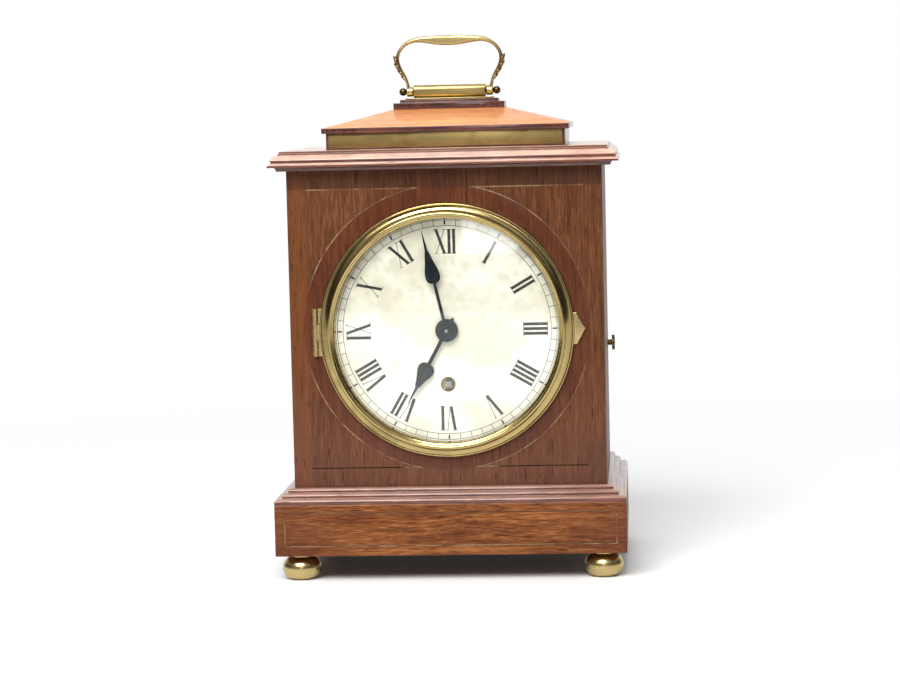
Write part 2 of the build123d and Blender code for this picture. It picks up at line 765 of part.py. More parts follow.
with BuildPart() as bezel_tab:
    with BuildSketch(facing_front(case_front - bezel_gap)) as kite:
        with BuildLine():
            near = bezel_radius - tab_root
            Polyline((near, dial_level + tab_height / 2),
                     (bezel_radius + tab_flat, dial_level + tab_height / 2),
                     (bezel_radius + tab_reach, dial_level),
                     (bezel_radius + tab_flat, dial_level - tab_height / 2),
                     (near, dial_level - tab_height / 2), close=True)
        make_face()
    extrude(kite.sketch, amount=tab_thickness)
    bore(dial_centre, case_front - bezel_gap - tab_thickness, case_front, bezel_radius)
    chamfer(bezel_tab.faces().sort_by(Axis.Y)[0].edges().filter_by(GeomType.LINE), tab_bevel)
bezel_tab.part.label = "bezel_tab"
export_step(bezel_tab.part, "parts/bezel_tab.step")


# Bezel hinge: the fixed leaf let into the panel, the moving leaf soldered to the ring
knuckle = hinge_height / 3
hinge_solder = 1.0           # part of the moving leaf that the bezel's round cuts away


def upright_bar(x, y, bottom, top, radius, mode=Mode.ADD):
    """A round bar along Z."""
    with BuildSketch(Plane.XY.offset(bottom)) as section:
        with Locations((x, y)):
            Circle(radius)
    extrude(section.sketch, amount=top - bottom, mode=mode)


def block(x_span, y_span, z_span):
    """A rectangular block between pairs of limits."""
    with BuildSketch(Plane.XY.offset(z_span[0])) as outline:
        with Locations(((x_span[0] + x_span[1]) / 2, (y_span[0] + y_span[1]) / 2)):
            Rectangle(x_span[1] - x_span[0], y_span[1] - y_span[0])
    extrude(outline.sketch, amount=z_span[1] - z_span[0])


with BuildPart() as case_hinge_leaf:
    low, high = dial_level - hinge_height / 2, dial_level + hinge_height / 2
    block((hinge_leaf_left, hinge_leaf_right), (case_front, case_front + hinge_leaf), (low, high))
    for bottom, top in ((low, low + knuckle), (high - knuckle, high)):
        upright_bar(hinge_x, hinge_y, bottom, top, hinge_barrel_radius)
        block((hinge_x - hinge_barrel_radius / 2, hinge_x + hinge_barrel_radius / 2),
              (hinge_y, case_front), (bottom, top))
    upright_bar(hinge_x, hinge_y, low, high, hinge_pin_radius, mode=Mode.SUBTRACT)
    for point in hinge_screw_points:
        bore(point, case_front, case_front + hinge_leaf, screw_radius)
case_hinge_leaf.part.label = "case_hinge_leaf"
export_step(case_hinge_leaf.part, "parts/case_hinge_leaf.step")

with BuildPart() as bezel_hinge_leaf:
    bottom = dial_level - knuckle / 2 + hinge_knuckle_gap
    top = dial_level + knuckle / 2 - hinge_knuckle_gap
    upright_bar(hinge_x, hinge_y, bottom, top, hinge_barrel_radius)
    block((hinge_x, hinge_solder - bezel_radius), (hinge_y - hinge_leaf, hinge_y + hinge_leaf / 2),
          (bottom, top))
    upright_bar(hinge_x, hinge_y, bottom, top, hinge_pin_radius + running, mode=Mode.SUBTRACT)
    bore(dial_centre, hinge_y - 2 * hinge_leaf, case_front, bezel_radius)
bezel_hinge_leaf.part.label = "bezel_hinge_leaf"
export_step(bezel_hinge_leaf.part, "parts/bezel_hinge_leaf.step")


# Dial with four feet that pass through the movement's front plate
barrel_centre = (0, winding_level)
foot_centres = [(x, dial_level + z) for x, z in dial_feet]
dial_back = case_front + dial_rebate

with BuildPart() as dial_plate:
    turn(dial_centre, (dial_back - dial_thickness, dial_back, dial_radius))
    for point in foot_centres:
        turn(point, (dial_back, inner_front + dial_foot_tail, dial_foot_radius))
    bore(dial_centre, dial_back - dial_thickness, dial_back, dial_hole_radius)
    bore(barrel_centre, dial_back - dial_thickness, dial_back, winding_hole_radius)
dial_plate.part.label = "dial_plate"
export_step(dial_plate.part, "parts/dial_plate.step")


# Where the train stands: each pair of arbors is a pitch distance apart
contrate_centre = (0, dial_level + contrate_rise)
intermediate_centre = two_circle_point(
    barrel_centre, great_module * (great_teeth + intermediate_leaves) / 2,
    dial_centre, intermediate_module * (intermediate_teeth + centre_leaves) / 2, -1)
third_centre = two_circle_point(
    dial_centre, centre_module * (centre_teeth + third_leaves) / 2,
    contrate_centre, third_module * (third_teeth + contrate_leaves) / 2, 1)
minute_wheel_centre = (cannon_module * (cannon_leaves + minute_teeth) / 2, dial_level)

# Depths in the train, behind the front plate
great_near = inner_front + 1.6
great_far = great_near + 2.0
intermediate_near = inner_front + 20.4
centre_near = inner_front + 6.0
third_near = inner_front + 10.0
contrate_web_near = inner_front + 14.0
crown_root = inner_front + 15.6
shoulder_gap = 0.3
pivot_end_gap = 0.2
pinion_margin = 0.5          # a pinion is longer than its wheel by this at each end

# Tooth phases, passed along the train from mesh to mesh
great_phase = 0.0
intermediate_pinion_phase = meshing_phase(
    great_teeth, great_phase, direction(barrel_centre, intermediate_centre), intermediate_leaves)
centre_pinion_phase = meshing_phase(
    intermediate_teeth, 0, direction(intermediate_centre, dial_centre), centre_leaves)
third_pinion_phase = meshing_phase(
    centre_teeth, 0, direction(dial_centre, third_centre), third_leaves)
contrate_pinion_phase = meshing_phase(
    third_teeth, 0, direction(third_centre, contrate_centre), contrate_leaves)
cannon_phase = 0.0
minute_wheel_phase = meshing_phase(cannon_leaves, cannon_phase, 0, minute_teeth)
hour_wheel_phase = meshing_phase(minute_leaves, 0, 180, hour_teeth)


def arbor(centre, start, end):
    """A steel arbor between the plates, with a thinner pivot in each plate."""
    turn(centre, (start, end, arbor_radius),
         (plate_front + pivot_end_gap, start, train_pivot_radius),
         (end, plate_back - pivot_end_gap, train_pivot_radius))


arbor_start, arbor_end = inner_front + shoulder_gap, inner_back - shoulder_gap
train_centres = (intermediate_centre, third_centre, contrate_centre)
plate_middle = dial_level + (plate_top - plate_bottom) / 2
plate_height = plate_top + plate_bottom
pillar_points = [(x * (plate_width / 2 - pillar_inset), plate_middle + z * (plate_height / 2 - pillar_inset))
                 for x in (-1, 1) for z in (-1, 1)]
platform_size = (30.0, 4.0, 1.8)     # width, reach in front of the front plate, thickness
platform_screw_out = 11.0
plate_corner = 4.0
lug_corner = 2.0
platform_screws = [(x * platform_screw_out, y) for x in (-1, 1)
                   for y in ((plate_front + inner_front) / 2, (inner_back + plate_back) / 2)]
platform_level = dial_level + plate_top


def movement_plate(near, centre_hole):
    """A movement plate with its holes for the arbors and the platform screws."""
    far = near + plate_thickness
    with BuildSketch(facing_front(far)) as outline:
        with Locations((0, plate_middle)):
            Rectangle(plate_width, plate_height)
        fillet(outline.vertices(), plate_corner)
    extrude(outline.sketch, amount=plate_thickness)
    for point in train_centres:
        bore(point, near, far, train_pivot_radius + running)
    bore(dial_centre, near, far, centre_hole + running)
    bore(barrel_centre, near, far, barrel_pivot_radius + running)
    with BuildSketch(Plane.XY.offset(platform_level)) as taps:
        with Locations(*[point for point in platform_screws if near < point[1] < far]):
            Circle(screw_radius)
    extrude(taps.sketch, amount=-screw_length, mode=Mode.SUBTRACT)


minute_stud_end = case_front + 4.2
with BuildPart() as front_plate:
    movement_plate(plate_front, centre_arbor_radius)
    for point in foot_centres:
        bore(point, plate_front, inner_front, dial_foot_radius)
    for x, z in lug_points:
        inwards = -lug_screw_in if x > 0 else lug_screw_in
        bore((x + inwards, z), plate_front, inner_front, screw_radius)
    turn(minute_wheel_centre, (minute_stud_end, plate_front, arbor_radius))
front_plate.part.label = "front_plate"
export_step(front_plate.part, "parts/front_plate.step")

with BuildPart() as back_plate:
    movement_plate(inner_back, train_pivot_radius)
    for point in pillar_points:
        bore(point, inner_back, plate_back, screw_radius)
back_plate.part.label = "back_plate"
export_step(back_plate.part, "parts/back_plate.step")

with BuildPart() as pillars:
    for point in pillar_points:
        turn(point, (inner_front, inner_back, pillar_radius))
        bore(point, inner_back - screw_length, inner_back, screw_radius)
pillars.part.label = "pillars"
export_step(pillars.part, "parts/pillars.step")

with BuildPart() as movement_lugs:
    for x, z in lug_points:
        with BuildSketch(facing_front(plate_front)) as lug:
            with Locations((x, z)):
                Rectangle(lug_size[0], lug_size[1])
            fillet(lug.vertices(), lug_corner)
        extrude(lug.sketch, amount=lug_size[2])
        for across in (lug_screw_out, -lug_screw_in):
            bore((x + (across if x > 0 else -across), z), panel_back, plate_front, screw_radius)
movement_lugs.part.label = "movement_lugs"
export_step(movement_lugs.part, "parts/movement_lugs.step")


# Going barrel: drum with the great wheel, cover, mainspring, and the arbor that winds it
drum_end = great_far + barrel_length
cover_near = drum_end - barrel_cover_thickness
drum_bore = barrel_radius - barrel_wall
with BuildPart() as barrel:
    extrude(toothed_face(barrel_centre, great_far, great_teeth, great_module,
                         wheel_shares, wheel_dedendum, great_phase), amount=great_far - great_near)
    turn(barrel_centre, (great_far, drum_end, barrel_radius))
    bore(barrel_centre, great_far, drum_end, drum_bore)
    bore(barrel_centre, great_near, great_far, barrel_pivot_radius + running)
barrel.part.label = "barrel"
export_step(barrel.part, "parts/barrel.step")

with BuildPart() as barrel_cover:
    turn(barrel_centre, (cover_near, drum_end, drum_bore))
    bore(barrel_centre, cover_near, drum_end, barrel_pivot_radius + running)
barrel_cover.part.label = "barrel_cover"
export_step(barrel_cover.part, "parts/barrel_cover.step")

spring_points_per_turn = 20
spring_inner = barrel_core_radius + 0.35
spring_outer = drum_bore - mainspring_thickness - 0.02
spring_side_gap = 0.4
with BuildPart() as mainspring:
    count = mainspring_turns * spring_points_per_turn
    turns = [(spring_inner + (spring_outer - spring_inner) * k / count,
              radians(360 * k / spring_points_per_turn)) for k in range(count + 1)]
    with BuildSketch(facing_front(cover_near - spring_side_gap)) as coil:
        with BuildLine():
            inside = [(r * cos(a), winding_level + r * sin(a)) for r, a in turns]
            outside = [((r + mainspring_thickness) * cos(a),
                        winding_level + (r + mainspring_thickness) * sin(a)) for r, a in turns]
            Polyline(*inside, *outside[::-1], close=True)
        make_face()
    extrude(coil.sketch, amount=cover_near - great_far - 2 * spring_side_gap)
mainspring.part.label = "mainspring"
export_step(mainspring.part, "parts/mainspring.step")

ratchet_near, ratchet_thickness = plate_back + 0.4, 1.6
ratchet_radius, ratchet_root, ratchet_tip_share = 7.0, 6.0, 0.96
arbor_square_end = dial_back - dial_thickness + 0.2
arbor_square_start = plate_front - 0.5
square_corner = 0.5
core_gap = 0.3
arbor_tail = 1.0             # arbor behind the ratchet wheel
with BuildPart() as barrel_arbor:
    turn(barrel_centre, (arbor_square_start, great_far + core_gap, barrel_pivot_radius),
         (great_far + core_gap, cover_near - core_gap, barrel_core_radius),
         (cover_near - core_gap, ratchet_near + ratchet_thickness + arbor_tail, barrel_pivot_radius))
    with BuildSketch(facing_front(arbor_square_start)) as square:
        with Locations(barrel_centre):
            RectangleRounded(winding_square, winding_square, square_corner)
    extrude(square.sketch, amount=arbor_square_start - arbor_square_end)
barrel_arbor.part.label = "barrel_arbor"
export_step(barrel_arbor.part, "parts/barrel_arbor.step")

with BuildPart() as ratchet_wheel:
    with BuildSketch(facing_front(ratchet_near + ratchet_thickness)) as ratchet:
        with BuildLine():
            rim = []
            for tooth in range(ratchet_teeth):
                for radius, share in ((ratchet_root, 0.0), (ratchet_radius, ratchet_tip_share)):
                    angle = radians(360 * (tooth + share) / ratchet_teeth)
                    rim.append((radius * cos(angle), winding_level + radius * sin(angle)))
            Polyline(*rim, close=True)
        make_face()
    extrude(ratchet.sketch, amount=ratchet_thickness)
    bore(barrel_centre, ratchet_near, ratchet_near + ratchet_thickness, barrel_pivot_radius)
ratchet_wheel.part.label = "ratchet_wheel"
export_step(ratchet_wheel.part, "parts/ratchet_wheel.step")


# Click: its tip stands in a notch of the ratchet wheel, so the arbor can't unwind
click_pivot = (-8.5, winding_level + 9.0)
click_boss, click_post_radius = 2.2, 0.8
click_gap = 0.1
click_nose = 2.5             # height of the click's nose over its tip
click_belly = ((-3.4, 0.3), (-1.4, 0.2))     # its underside: across, and over the wheel's teeth
click_shoulder = 0.6
click_post_end = ratchet_near + ratchet_thickness + 0.6
with BuildPart() as click:
    with BuildSketch(facing_front(ratchet_near + ratchet_thickness)) as click_face:
        with BuildLine():
            notch_level = winding_level + ratchet_root + click_gap
            Polyline((-click_gap, notch_level), (-click_gap, notch_level + click_nose),
                     (click_pivot[0] + click_shoulder, click_pivot[1] + click_boss),
                     (click_pivot[0], click_pivot[1] - click_boss),
                     *[(x, winding_level + ratchet_radius + rise) for x, rise in click_belly],
                     (-click_gap, notch_level))
        make_face()
    extrude(click_face.sketch, amount=ratchet_thickness)
    turn(click_pivot, (ratchet_near, ratchet_near + ratchet_thickness, click_boss))
    bore(click_pivot, ratchet_near, ratchet_near + ratchet_thickness, click_post_radius + running)
click.part.label = "click"
export_step(click.part, "parts/click.step")


# Steel small work: screws of the lugs, the back plate and the platform; click post and spring
head_radius, head_height = 1.5, 1.0
click_spring_foot = (4.0, winding_level + 13.0)
click_spring_way = ((0, winding_level + 12.3), (-5.8, winding_level + 11.3))
click_spring_share = 0.7     # of the ratchet wheel's thickness
click_spring_thickness = 0.4
with BuildPart() as movement_screws:
    for x, z in lug_points:
        outer = (x + (lug_screw_out if x > 0 else -lug_screw_out), z)
        inner = (x - (lug_screw_in if x > 0 else -lug_screw_in), z)
        turn(outer, (panel_back - screw_length, plate_front, screw_radius),
             (plate_front, plate_front + head_height, head_radius))
        turn(inner, (panel_back, inner_front, screw_radius),
             (panel_back - head_height, panel_back, head_radius))
    for point in pillar_points:
        turn(point, (inner_back - screw_length, plate_back, screw_radius),
             (plate_back, plate_back + head_height, head_radius))
    for x, y in platform_screws:
        upright_bar(x, y, platform_level - screw_length, platform_level + platform_size[2], screw_radius)
        upright_bar(x, y, platform_level + platform_size[2],
                    platform_level + platform_size[2] + head_height, head_radius)
    turn(click_pivot, (plate_back, click_post_end, click_post_radius),
         (ratchet_near + ratchet_thickness, click_post_end, head_radius))
    turn(click_spring_foot, (plate_back, ratchet_near + ratchet_thickness, head_radius))
    with BuildSketch(facing_front(ratchet_near + ratchet_thickness)) as click_spring:
        with BuildLine():
            Spline(click_spring_foot, *click_spring_way, tangents=((-1, 0), (-1, -0.25)))
        trace(line_width=click_spring_thickness)
    extrude(click_spring.sketch, amount=ratchet_thickness * click_spring_share)
movement_screws.part.label = "movement_screws"
export_step(movement_screws.part, "parts/movement_screws.step")


# Wheels of the going train, each with its pinion on a steel arbor
with BuildPart() as intermediate_wheel:
    cut_wheel(intermediate_centre, intermediate_near, intermediate_teeth, intermediate_module, 0,
              spokes=5, hub=3.4)
    arbor(intermediate_centre, arbor_start, arbor_end)
    cut_pinion(intermediate_centre, great_near - pinion_margin, great_far + pinion_margin,
               intermediate_leaves, great_module, intermediate_pinion_phase)
intermediate_wheel.part.label = "intermediate_wheel"
export_step(intermediate_wheel.part, "parts/intermediate_wheel.step")

centre_body_radius = 1.3
arbor_tip = case_front - 4.9
with BuildPart() as centre_wheel:
    cut_wheel(dial_centre, centre_near, centre_teeth, centre_module, 0, spokes=5, hub=3.0)
    cut_pinion(dial_centre, intermediate_near - pinion_margin,
               intermediate_near + wheel_thickness + pinion_margin,
               centre_leaves, intermediate_module, centre_pinion_phase)
    turn(dial_centre, (arbor_tip, arbor_start, centre_arbor_radius),
         (arbor_start, arbor_end, centre_body_radius),
         (arbor_end, plate_back - pivot_end_gap, train_pivot_radius))
centre_wheel.part.label = "centre_wheel"
export_step(centre_wheel.part, "parts/centre_wheel.step")

with BuildPart() as third_wheel:
    cut_wheel(third_centre, third_near, third_teeth, third_module, 0, spokes=5, hub=2.8)
    arbor(third_centre, arbor_start, arbor_end)
    cut_pinion(third_centre, centre_near - pinion_margin, centre_near + wheel_thickness + pinion_margin,
               third_leaves, centre_module, third_pinion_phase)
third_wheel.part.label = "third_wheel"
export_step(third_wheel.part, "parts/third_wheel.step")

crown_inner, crown_outer = 9.5, 10.6
crown_rim = 0.6              # solid web inside the crown of teeth
contrate_web, contrate_hub, contrate_spoke = 1.0, 2.6, 1.2
slot_past = 0.2              # a slot's cutter passes the teeth by this
crown_pitch_plane = crown_root + contrate_module * wheel_dedendum
crown_pitch = contrate_module * pi
crown_tip = crown_pitch_plane + contrate_module * wheel_addendum
contrate_axis = Axis((0, 0, contrate_centre[1]), (0, 1, 0))

with BuildPart() as crown_slot:
    with BuildSketch(Plane.XY.offset(contrate_centre[1] + crown_inner - slot_past)):
        with BuildLine():
            floor_half, mouth_half = (crown_pitch * (0.5 - share) for share in wheel_shares)
            Polyline((-floor_half, crown_root), (floor_half, crown_root), (mouth_half, crown_tip),
                     (mouth_half, crown_tip + slot_past), (-mouth_half, crown_tip + slot_past),
                     (-mouth_half, crown_tip), close=True)
        make_face()
    extrude(amount=crown_outer - crown_inner + 2 * slot_past)

with BuildPart() as contrate_wheel:
    turn(contrate_centre, (contrate_web_near, contrate_web_near + contrate_web, crown_outer))
    with BuildSketch(facing_front(contrate_web_near + contrate_web)) as windows:
        with Locations(contrate_centre):
            Circle(crown_inner - crown_rim)
            Circle(contrate_hub, mode=Mode.SUBTRACT)
            with PolarLocations(0, 4):
                Rectangle(crown_inner, contrate_spoke, align=(Align.MIN, Align.CENTER), mode=Mode.SUBTRACT)
    extrude(windows.sketch, amount=contrate_web, mode=Mode.SUBTRACT)
    with BuildSketch(facing_front(crown_tip)) as ring_face:
        with Locations(contrate_centre):
            Circle(crown_outer)
            Circle(crown_inner, mode=Mode.SUBTRACT)
    extrude(ring_face.sketch, amount=crown_tip - contrate_web_near)
    add([crown_slot.part.rotate(contrate_axis, 360 * (tooth + 0.5) / contrate_teeth)
         for tooth in range(contrate_teeth)], mode=Mode.SUBTRACT)
    arbor(contrate_centre, arbor_start, arbor_end)
    cut_pinion(contrate_centre, third_near - pinion_margin, third_near + wheel_thickness + pinion_margin,
               contrate_leaves, third_module, contrate_pinion_phase)
contrate_wheel.part.label = "contrate_wheel"
export_step(contrate_wheel.part, "parts/contrate_wheel.step")


# Platform escapement: levels above the dial centre, depths behind the front plate
platform_width, platform_front_reach, platform_thickness = platform_size
platform_front = plate_front - platform_front_reach
platform_top = platform_level + platform_thickness
escape_pitch_radius = contrate_module * escape_leaves / 2
escape_y = crown_pitch_plane + escape_pitch_radius
lever_y = escape_y - 5.4
balance_y = lever_y - 5.55
small_pivot_radius = 0.3
pivot_depth_small = 1.0
potence_bottom, potence_thickness = contrate_centre[1] + 7.2, 1.2
pinion_bottom, pinion_top = contrate_centre[1] + crown_inner - 0.2, contrate_centre[1] + crown_outer + 0.2
bridge_bottom, bridge_thickness = platform_top + 2.8, 1.0
cock_bottom, cock_thickness = platform_top + 7.8, 1.4
end_play = 0.2


def platform_arbor(y, bottom, top, radius):
    """An upright arbor with a finer pivot at each end."""
    upright_bar(0, y, bottom, top, radius)
    upright_bar(0, y, bottom - pivot_depth_small + end_play, bottom, small_pivot_radius)
    upright_bar(0, y, top, top + pivot_depth_small - end_play, small_pivot_radius)


def pivot_hole(y, bottom):
    """A blind hole for such a pivot."""
    upright_bar(0, y, bottom, bottom + pivot_depth_small, small_pivot_radius + running, mode=Mode.SUBTRACT)


bridge_front, bridge_back, bridge_half = lever_y - 1.2, escape_y + 1.4, 9.0
bridge_foot = 2.4
potence_half, potence_nose, potence_leg = 3.0, 1.05, 2.0
potence_back = escape_y + 4.0
with BuildPart() as platform:
    block((-platform_width / 2, platform_width / 2), (platform_front, plate_back),
          (platform_level, platform_top))
    block((-potence_half, potence_half), (escape_y - potence_nose, potence_back),
          (potence_bottom, potence_bottom + potence_thickness))
    block((-potence_half, potence_half), (potence_back - potence_leg, potence_back),
          (potence_bottom, platform_level))
    for side in (-1, 1):
        feet = sorted((side * bridge_half, side * (bridge_half - bridge_foot)))
        block(feet, (bridge_front, bridge_back), (platform_top, bridge_bottom))
    block((-bridge_half, bridge_half), (bridge_front, bridge_back),
          (bridge_bottom, bridge_bottom + bridge_thickness))
    for y in (escape_y, lever_y):
        pivot_hole(y, bridge_bottom)
    for y in (lever_y, balance_y):
        pivot_hole(y, platform_top - pivot_depth_small)
    pivot_hole(escape_y, potence_bottom + potence_thickness - pivot_depth_small)
    upright_bar(0, escape_y, platform_level, platform_top, arbor_radius, mode=Mode.SUBTRACT)
    for x, y in platform_screws:
        upright_bar(x, y, platform_level, platform_top, screw_radius, mode=Mode.SUBTRACT)
platform.part.label = "platform"
export_step(platform.part, "parts/platform.step")

escape_teeth, escape_radius, escape_root = 15, 4.2, 3.3
escape_level, escape_thickness = platform_top + 1.4, 0.5
escape_arbor_radius = 0.5
escape_tip = escape_pitch_radius + contrate_module * wheel_addendum
escape_pinion_root = escape_pitch_radius - contrate_module * pinion_dedendum
with BuildPart() as escape_wheel:
    with BuildSketch(Plane.XY.offset(escape_level)) as club_teeth:
        with BuildLine():
            rim = []
            for tooth in range(escape_teeth):
                for radius, share in ((escape_root, 0.0), (escape_radius, 0.3), (escape_radius, 0.38),
                                      (escape_root, 0.34)):
                    angle = radians(360 * (tooth + share) / escape_teeth)
                    rim.append((radius * cos(angle), escape_y + radius * sin(angle)))
            Polyline(*rim, close=True)
        make_face()
        with Locations((0, escape_y)):
            Circle(escape_root - 0.6, mode=Mode.SUBTRACT)
            Circle(1.1)
            with PolarLocations(0, 4):
                Rectangle(escape_root, 0.5, align=(Align.MIN, Align.CENTER))
    extrude(club_teeth.sketch, amount=escape_thickness)
    platform_arbor(escape_y, potence_bottom + potence_thickness + end_play, bridge_bottom - end_play,
                   escape_arbor_radius)
    with BuildSketch(Plane.XY.offset(pinion_bottom)) as leaves:
        with BuildLine():
            Polyline(*[(x, escape_y + y) for x, y in
                       tooth_outline(escape_leaves, escape_pinion_root, escape_tip, pinion_shares,
                                     -90 + 180 / escape_leaves)], close=True)
        make_face()
    extrude(leaves.sketch, amount=pinion_top - pinion_bottom)
escape_wheel.part.label = "escape_wheel"
export_step(escape_wheel.part, "parts/escape_wheel.step")

# Lever: two pallets by the escape wheel, and a tail that reaches towards the balance's pin
lever_level, lever_thickness = platform_top + 1.1, 0.7
lever_hub, lever_arm_width = 0.9, 0.6
pallet_reach, pallet_angle = 5.0, 32.0
impulse_reach, impulse_radius = 1.2, 0.15
tail_gap = 0.3
with BuildPart() as lever:
    with BuildSketch(Plane.XY.offset(lever_level)) as lever_face:
        tail_tip = balance_y + impulse_reach + impulse_radius + tail_gap
        with Locations((0, lever_y)):
            Circle(lever_hub)
        with Locations((0, (lever_y + tail_tip) / 2)):
            Rectangle(lever_arm_width, lever_y - tail_tip)
        with Locations((0, tail_tip + lever_arm_width / 2)):
            Rectangle(3 * lever_arm_width, lever_arm_width)
        for side in (-1, 1):
            pallet = (side * pallet_reach * sin(radians(pallet_angle)),
                      escape_y - pallet_reach * cos(radians(pallet_angle)))
            with BuildLine():
                Polyline((0, lever_y - lever_arm_width / 2), (pallet[0], pallet[1] - lever_arm_width / 2),
                         (pallet[0], pallet[1] + lever_arm_width / 2), (0, lever_y + lever_arm_width / 2),
                         close=True)
            make_face()
            with Locations(pallet):
                Rectangle(lever_arm_width, lever_arm_width)
    extrude(lever_face.sketch, amount=lever_thickness)
    platform_arbor(lever_y, platform_top + end_play, bridge_bottom - end_play, escape_arbor_radius)
lever.part.label = "lever"
export_step(lever.part, "parts/lever.step")


# Balance with its hairspring, and the cock that holds its upper pivot
rim_outer, rim_inner, rim_bottom, rim_height = 6.5, 5.4, platform_top + 4.8, 1.0
roller_radius, roller_bottom, roller_height = 1.6, platform_top + 2.2, 0.4
collet_radius, collet_height = 0.9, 0.4
hairspring_bottom = platform_top + 6.4
with BuildPart() as balance:
    with BuildSketch(Plane.XY.offset(rim_bottom)) as balance_face:
        with Locations((0, balance_y)):
            Circle(rim_outer)
            Circle(rim_inner, mode=Mode.SUBTRACT)
            Rectangle(2 * rim_inner + rim_height, 1.2)
            Circle(1.3)
    extrude(balance_face.sketch, amount=rim_height)
    platform_arbor(balance_y, platform_top + end_play, cock_bottom - end_play, escape_arbor_radius)
    upright_bar(0, balance_y, roller_bottom, roller_bottom + roller_height, roller_radius)
    upright_bar(0, balance_y + impulse_reach, lever_level, roller_bottom, impulse_radius)
    upright_bar(0, balance_y, hairspring_bottom, hairspring_bottom + collet_height, collet_radius)
balance.part.label = "balance"
export_step(balance.part, "parts/balance.step")

hairspring_turns, hairspring_outer, hairspring_thickness, hairspring_height = 6, 3.4, 0.15, 0.25
with BuildPart() as hairspring:
    with BuildSketch(Plane.XY.offset(hairspring_bottom)) as spiral:
        with BuildLine():
            steps = hairspring_turns * spring_points_per_turn
            growth = (hairspring_outer - hairspring_thickness - collet_radius) / steps
            inside, outside = [], []
            for k in range(steps + 1):
                angle = radians(360 * k / spring_points_per_turn)
                for side_points, radius in ((inside, collet_radius + growth * k),
                                            (outside, collet_radius + growth * k + hairspring_thickness)):
                    side_points.append((radius * cos(angle), balance_y + radius * sin(angle)))
            Polyline(*inside, *outside[::-1], close=True)
        make_face()
    extrude(spiral.sketch, amount=hairspring_height)
hairspring.part.label = "hairspring"
export_step(hairspring.part, "parts/hairspring.step")

cock_half, cock_foot_back = 3.0, balance_y - rim_outer - 0.95
stud_radius = 0.35
with BuildPart() as balance_cock:
    block((-cock_half, cock_half), (platform_front + 0.2, cock_foot_back), (platform_top, cock_bottom))
    block((-cock_half, cock_half), (platform_front + 0.2, balance_y + 2.0),
          (cock_bottom, cock_bottom + cock_thickness))
    fillet(balance_cock.edges().filter_by(Axis.Z).group_by(Axis.Y)[-1], 1.5)
    pivot_hole(balance_y, cock_bottom)
    upright_bar(0, balance_y - hairspring_outer - 0.15 - stud_radius, hairspring_bottom - 0.1, cock_bottom,
                stud_radius)
balance_cock.part.label = "balance_cock"
export_step(balance_cock.part, "parts/balance_cock.step")


# Motion work between the dial and the front plate: depths from the front panel's face
pipe_radius, hour_pipe_bore, hour_pipe_radius = 1.5, 1.6, 2.5
cannon_front = case_front - 3.4
hour_pipe_front, hour_pipe_back = case_front - 1.6, case_front + 7.6
cannon_leaves_near, cannon_leaves_far = case_front + 8.0, case_front + 10.0
hour_wheel_near = case_front + 5.0
minute_wheel_near = case_front + 8.4
minute_leaves_near = case_front + 4.6

with BuildPart() as cannon_pinion:
    cut_pinion(dial_centre, cannon_leaves_near, cannon_leaves_far, cannon_leaves, cannon_module,
               cannon_phase)
    turn(dial_centre, (cannon_front, cannon_leaves_far, pipe_radius))
    bore(dial_centre, cannon_front, cannon_leaves_far, centre_arbor_radius)
cannon_pinion.part.label = "cannon_pinion"
export_step(cannon_pinion.part, "parts/cannon_pinion.step")

with BuildPart() as minute_wheel:
    cut_wheel(minute_wheel_centre, minute_wheel_near, minute_teeth, cannon_module, minute_wheel_phase,
              spokes=4, hub=3.0)
    cut_pinion(minute_wheel_centre, minute_leaves_near, minute_wheel_near + wheel_thickness,
               minute_leaves, hour_module, 0)
    bore(minute_wheel_centre, minute_leaves_near, minute_wheel_near + wheel_thickness,
         arbor_radius + running)
minute_wheel.part.label = "minute_wheel"
export_step(minute_wheel.part, "parts/minute_wheel.step")

with BuildPart() as hour_wheel:
    cut_wheel(dial_centre, hour_wheel_near, hour_teeth, hour_module, hour_wheel_phase,
              spokes=4, hub=3.6)
    turn(dial_centre, (hour_pipe_front, hour_pipe_back, hour_pipe_radius))
    bore(dial_centre, hour_pipe_front, hour_pipe_back, hour_pipe_bore)
hour_wheel.part.label = "hour_wheel"
export_step(hour_wheel.part, "parts/hour_wheel.step")


# Spade hands: angles clockwise from twelve, then the lengths of stem, spade and point
minute_hand_angle, hour_hand_angle = -12.8, 208.9
hour_hand_near, hour_hand_thickness = case_front - 1.7, 0.8
minute_hand_near, minute_hand_thickness = case_front - 3.6, 0.6
hour_boss_radius, minute_boss_radius = 6.3, 3.5
tail_root, tail_out, tail_half = 1.5, 2.0, 2.0      # hour hand's tail, from the boss's edge
hand_collet_length, hand_collet_radius = 0.7, 2.6


def spade(angle, far, stem, spade_back, belly, taper, tip):
    """Outline of a spade hand; pairs are a distance from the centre and a half width."""
    tilt = radians(angle)
    with BuildSketch(Plane((0, far, dial_level), x_dir=(sin(tilt), 0, cos(tilt)), z_dir=(0, -1, 0))) as hand:
        with BuildLine():
            Polyline((0, 0), (0, stem), (spade_back, stem))
            Spline((spade_back, stem), belly, *taper, tangents=((0.1, 1), (1, -0.06)))
            Polyline(taper[-1], (tip, 0), (0, 0))
        make_face()
        mirror(about=Plane.XZ)
    return hand.sketch


